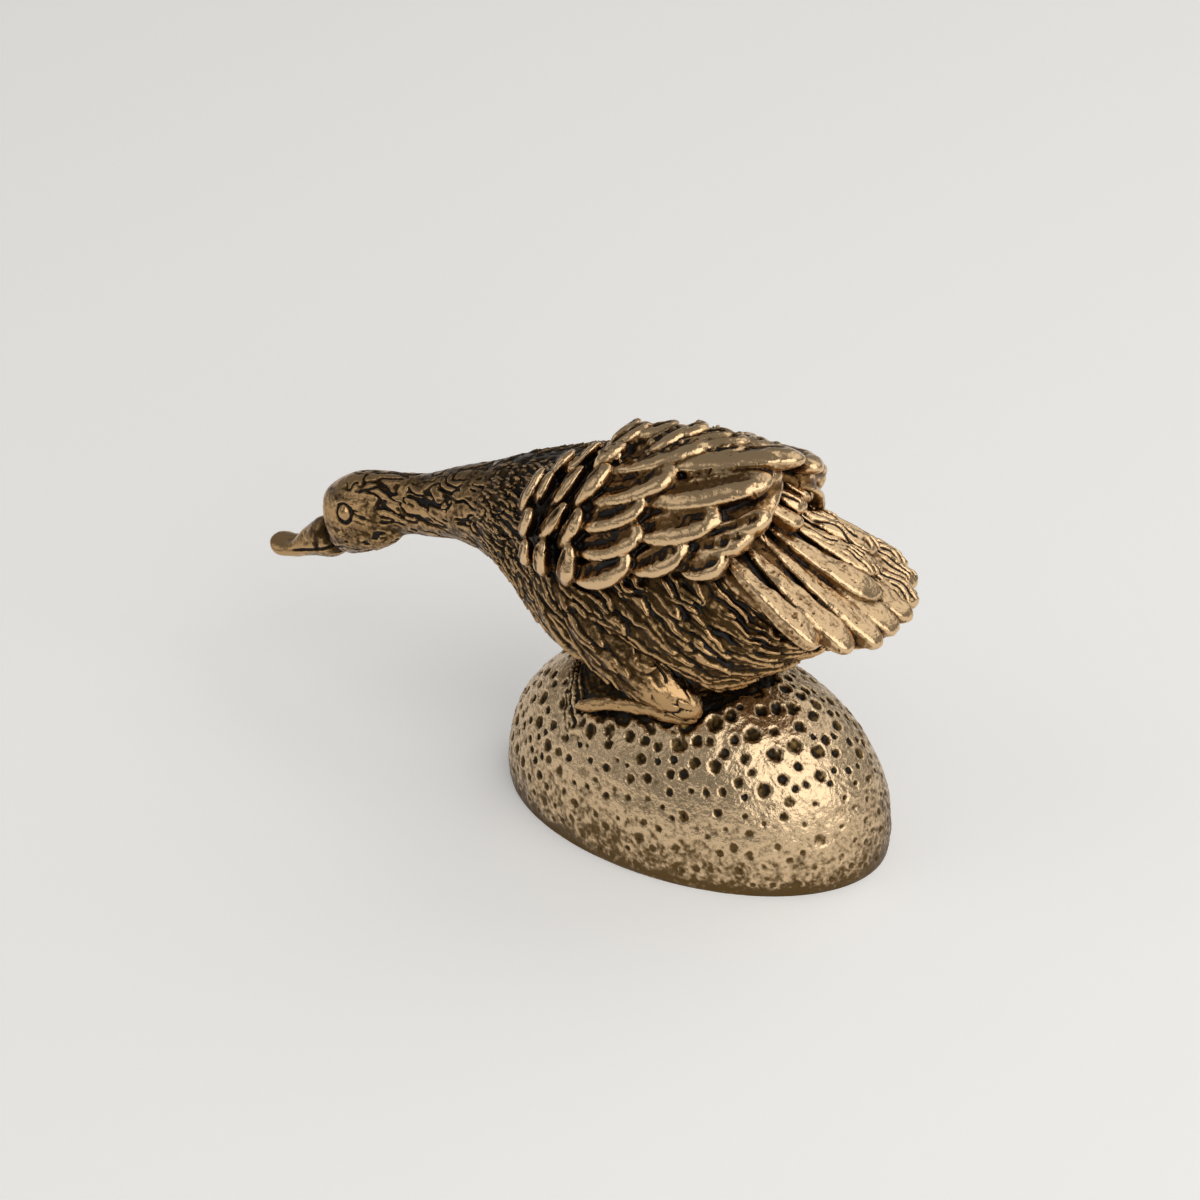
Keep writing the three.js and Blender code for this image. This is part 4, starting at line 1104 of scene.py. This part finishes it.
def way_from(azimuth, elevation):
    """Direction from the goose to a lamp or to the camera, from angles in degrees."""
    a, e = math.radians(azimuth), math.radians(elevation)
    return np.array([math.sin(a) * math.cos(e), -math.cos(a) * math.cos(e), math.sin(e)])


def aim(back):
    """Rotation of a camera or lamp whose back points along a direction."""
    flat = math.hypot(back[0], back[1])
    return (math.atan2(flat, back[2]), 0, math.atan2(back[0], -back[1]))


def light_scene(scene):
    scene.world = bpy.data.worlds.new("studio")
    scene.world.use_nodes = True
    sky = scene.world.node_tree.nodes["Background"].inputs
    sky["Color"].default_value = ROOM_COLOUR
    sky["Strength"].default_value = ROOM_LIGHT
    for name, azimuth, elevation, distance, size, power in LAMPS:
        data = bpy.data.lights.new(name, "AREA")
        data.shape = "SQUARE"
        data.size = size
        data.energy = power
        away = way_from(azimuth, elevation)
        light = new_object(name, data)
        light.location = away * distance + LAMPS_AIM
        light.rotation_euler = aim(away)


def aim_camera(scene):
    data = bpy.data.cameras.new("camera")
    data.angle = CAMERA_ANGLE
    data.clip_start = 0.01
    data.clip_end = 20
    back = way_from(*CAMERA_VIEW)
    turn = math.radians(CAMERA_VIEW[0])
    right = np.array([math.cos(turn), math.sin(turn), 0])
    distance = PICTURE_HALF / math.tan(CAMERA_ANGLE / 2) / PIXELS_PER_MM
    camera = new_object("camera", data)
    camera.location = (right * PICTURE_MIDDLE[0] + (0, 0, PICTURE_MIDDLE[1]) + back * distance) * MM
    camera.rotation_euler = aim(back)
    scene.camera = camera
    scene.view_settings.view_transform = "Standard"


def colour_of(label, what, code):
    return bpy.props.FloatVectorProperty(
        name=label, description=what, default=hex_colour(code), size=4, min=0, max=1, subtype="COLOR"
    )


class GooseSettings(bpy.types.PropertyGroup):
    """Sizes and colours that a user would change."""

    cell: bpy.props.FloatProperty(
        name="Skin cell", description="Edge of the cells that fuse the lobes of a piece",
        default=0.0001, min=0.00005, max=0.001, precision=5, unit="LENGTH",
    )
    carving: bpy.props.FloatProperty(
        name="Carving", description="How deep the plumage of the neck and the body is carved",
        default=1, min=0, max=1.3, subtype="FACTOR",
    )
    pit_depth: bpy.props.FloatProperty(
        name="Pits of the egg", description="How deep the egg is hammered",
        default=1, min=0, max=1.5, subtype="FACTOR",
    )
    antique_crest: colour_of("Antique crests", "Rubbed crests of the neck, body and legs", "#bd996c")
    antique_skin: colour_of("Antique skin", "Aged brass of the neck, body and legs", "#48351d")
    polished_crest: colour_of("Polished crests", "Rubbed crests of the wings and the tail", "#e0be92")
    polished_skin: colour_of("Polished skin", "Aged brass of the wings and the tail", "#765734")
    hammered_crest: colour_of("Hammered crests", "Rubbed brass of the egg", "#dec19a")
    hammered_skin: colour_of("Hammered skin", "Aged brass of the egg", "#665030")
    rod_skin: colour_of("Rod", "Drawn brass of the hidden dowels", "#b08d52")


class GOOSE_OT_egg(bpy.types.Operator):
    """Sculpts the hammered egg"""

    bl_idname = "goose.egg"
    bl_label = "Egg"

    def execute(self, context):
        finish_piece(build_egg(context.scene.goose), "egg_base", "hammered_brass")
        return {"FINISHED"}


class GOOSE_OT_body(bpy.types.Operator):
    """Sculpts the body with its tufted breast and flanks"""

    bl_idname = "goose.body"
    bl_label = "Body"

    def execute(self, context):
        finish_piece(build_body(context.scene.goose), "body", "antique_brass")
        return {"FINISHED"}


class GOOSE_OT_neck_and_head(bpy.types.Operator):
    """Sculpts the neck, the head and the bill"""

    bl_idname = "goose.neck_and_head"
    bl_label = "Neck and head"

    def execute(self, context):
        finish_piece(build_neck_and_head(context.scene.goose), "neck_and_head", "antique_brass")
        return {"FINISHED"}


class GOOSE_OT_wings(bpy.types.Operator):
    """Sculpts both folded wings"""

    bl_idname = "goose.wings"
    bl_label = "Wings"

    def execute(self, context):
        settings = context.scene.goose
        for name, *place in WINGS:
            finish_piece(build_wing("goose_" + name, settings, *place), name, "polished_brass")
        return {"FINISHED"}


class GOOSE_OT_tail(bpy.types.Operator):
    """Sculpts the tail fan with its coverts and rump tufts"""

    bl_idname = "goose.tail"
    bl_label = "Tail"

    def execute(self, context):
        finish_piece(build_tail(context.scene.goose), "tail_fan", "polished_brass")
        return {"FINISHED"}


class GOOSE_OT_legs(bpy.types.Operator):
    """Sculpts both legs"""

    bl_idname = "goose.legs"
    bl_label = "Legs"

    def execute(self, context):
        settings = context.scene.goose
        for name, mirrored in (("left_leg", False), ("right_leg", True)):
            finish_piece(build_leg("goose_" + name, settings, mirrored), name, "antique_brass")
        return {"FINISHED"}


class GOOSE_OT_dowels(bpy.types.Operator):
    """Gives the hidden dowels a plain rod finish"""

    bl_idname = "goose.dowels"
    bl_label = "Dowels"

    def execute(self, context):
        for name, node in frame["nodes"].items():
            if name.endswith("_dowel"):
                node.data.materials.clear()
                node.data.materials.append(finish_of("rod"))
        return {"FINISHED"}


class GOOSE_OT_shade_and_age(bpy.types.Operator):
    """Works out where the patina stays and where it is rubbed off, and paints ambient shade and light from
    how much sky each place sees
    """

    bl_idname = "goose.age"
    bl_label = "Patina"

    def execute(self, context):
        pieces = [o for o in bpy.data.objects if o.type == "MESH" and "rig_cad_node" not in o]
        shade_and_age_pieces(pieces)
        return {"FINISHED"}


class GOOSE_OT_stage(bpy.types.Operator):
    """Sets the floor, the lights and the camera"""

    bl_idname = "goose.stage"
    bl_label = "Stage"

    def execute(self, context):
        build_floor()
        light_scene(context.scene)
        aim_camera(context.scene)
        return {"FINISHED"}


class GOOSE_PT_panel(bpy.types.Panel):
    """Lists the pieces of the goose"""

    bl_label = "Brass goose"
    bl_idname = "GOOSE_PT_panel"
    bl_space_type = "VIEW_3D"
    bl_region_type = "UI"
    bl_category = "Goose"

    def draw(self, context):
        for name in GooseSettings.__annotations__:
            self.layout.prop(context.scene.goose, name)
        for operator in OPERATORS:
            self.layout.operator(operator.bl_idname)


OPERATORS = (
    GOOSE_OT_egg, GOOSE_OT_body, GOOSE_OT_neck_and_head, GOOSE_OT_wings, GOOSE_OT_tail,
    GOOSE_OT_legs, GOOSE_OT_dowels, GOOSE_OT_shade_and_age, GOOSE_OT_stage,
)
CLASSES = (GooseSettings, *OPERATORS, GOOSE_PT_panel)


def register():
    for made in CLASSES:
        bpy.utils.register_class(made)
    bpy.types.Scene.goose = bpy.props.PointerProperty(type=GooseSettings)


def unregister():
    del bpy.types.Scene.goose
    for made in reversed(CLASSES):
        bpy.utils.unregister_class(made)


def main():
    register()
    for operator in OPERATORS:
        group, name = operator.bl_idname.split(".")
        getattr(getattr(bpy.ops, group), name)()


if __name__ == "__main__":
    main()
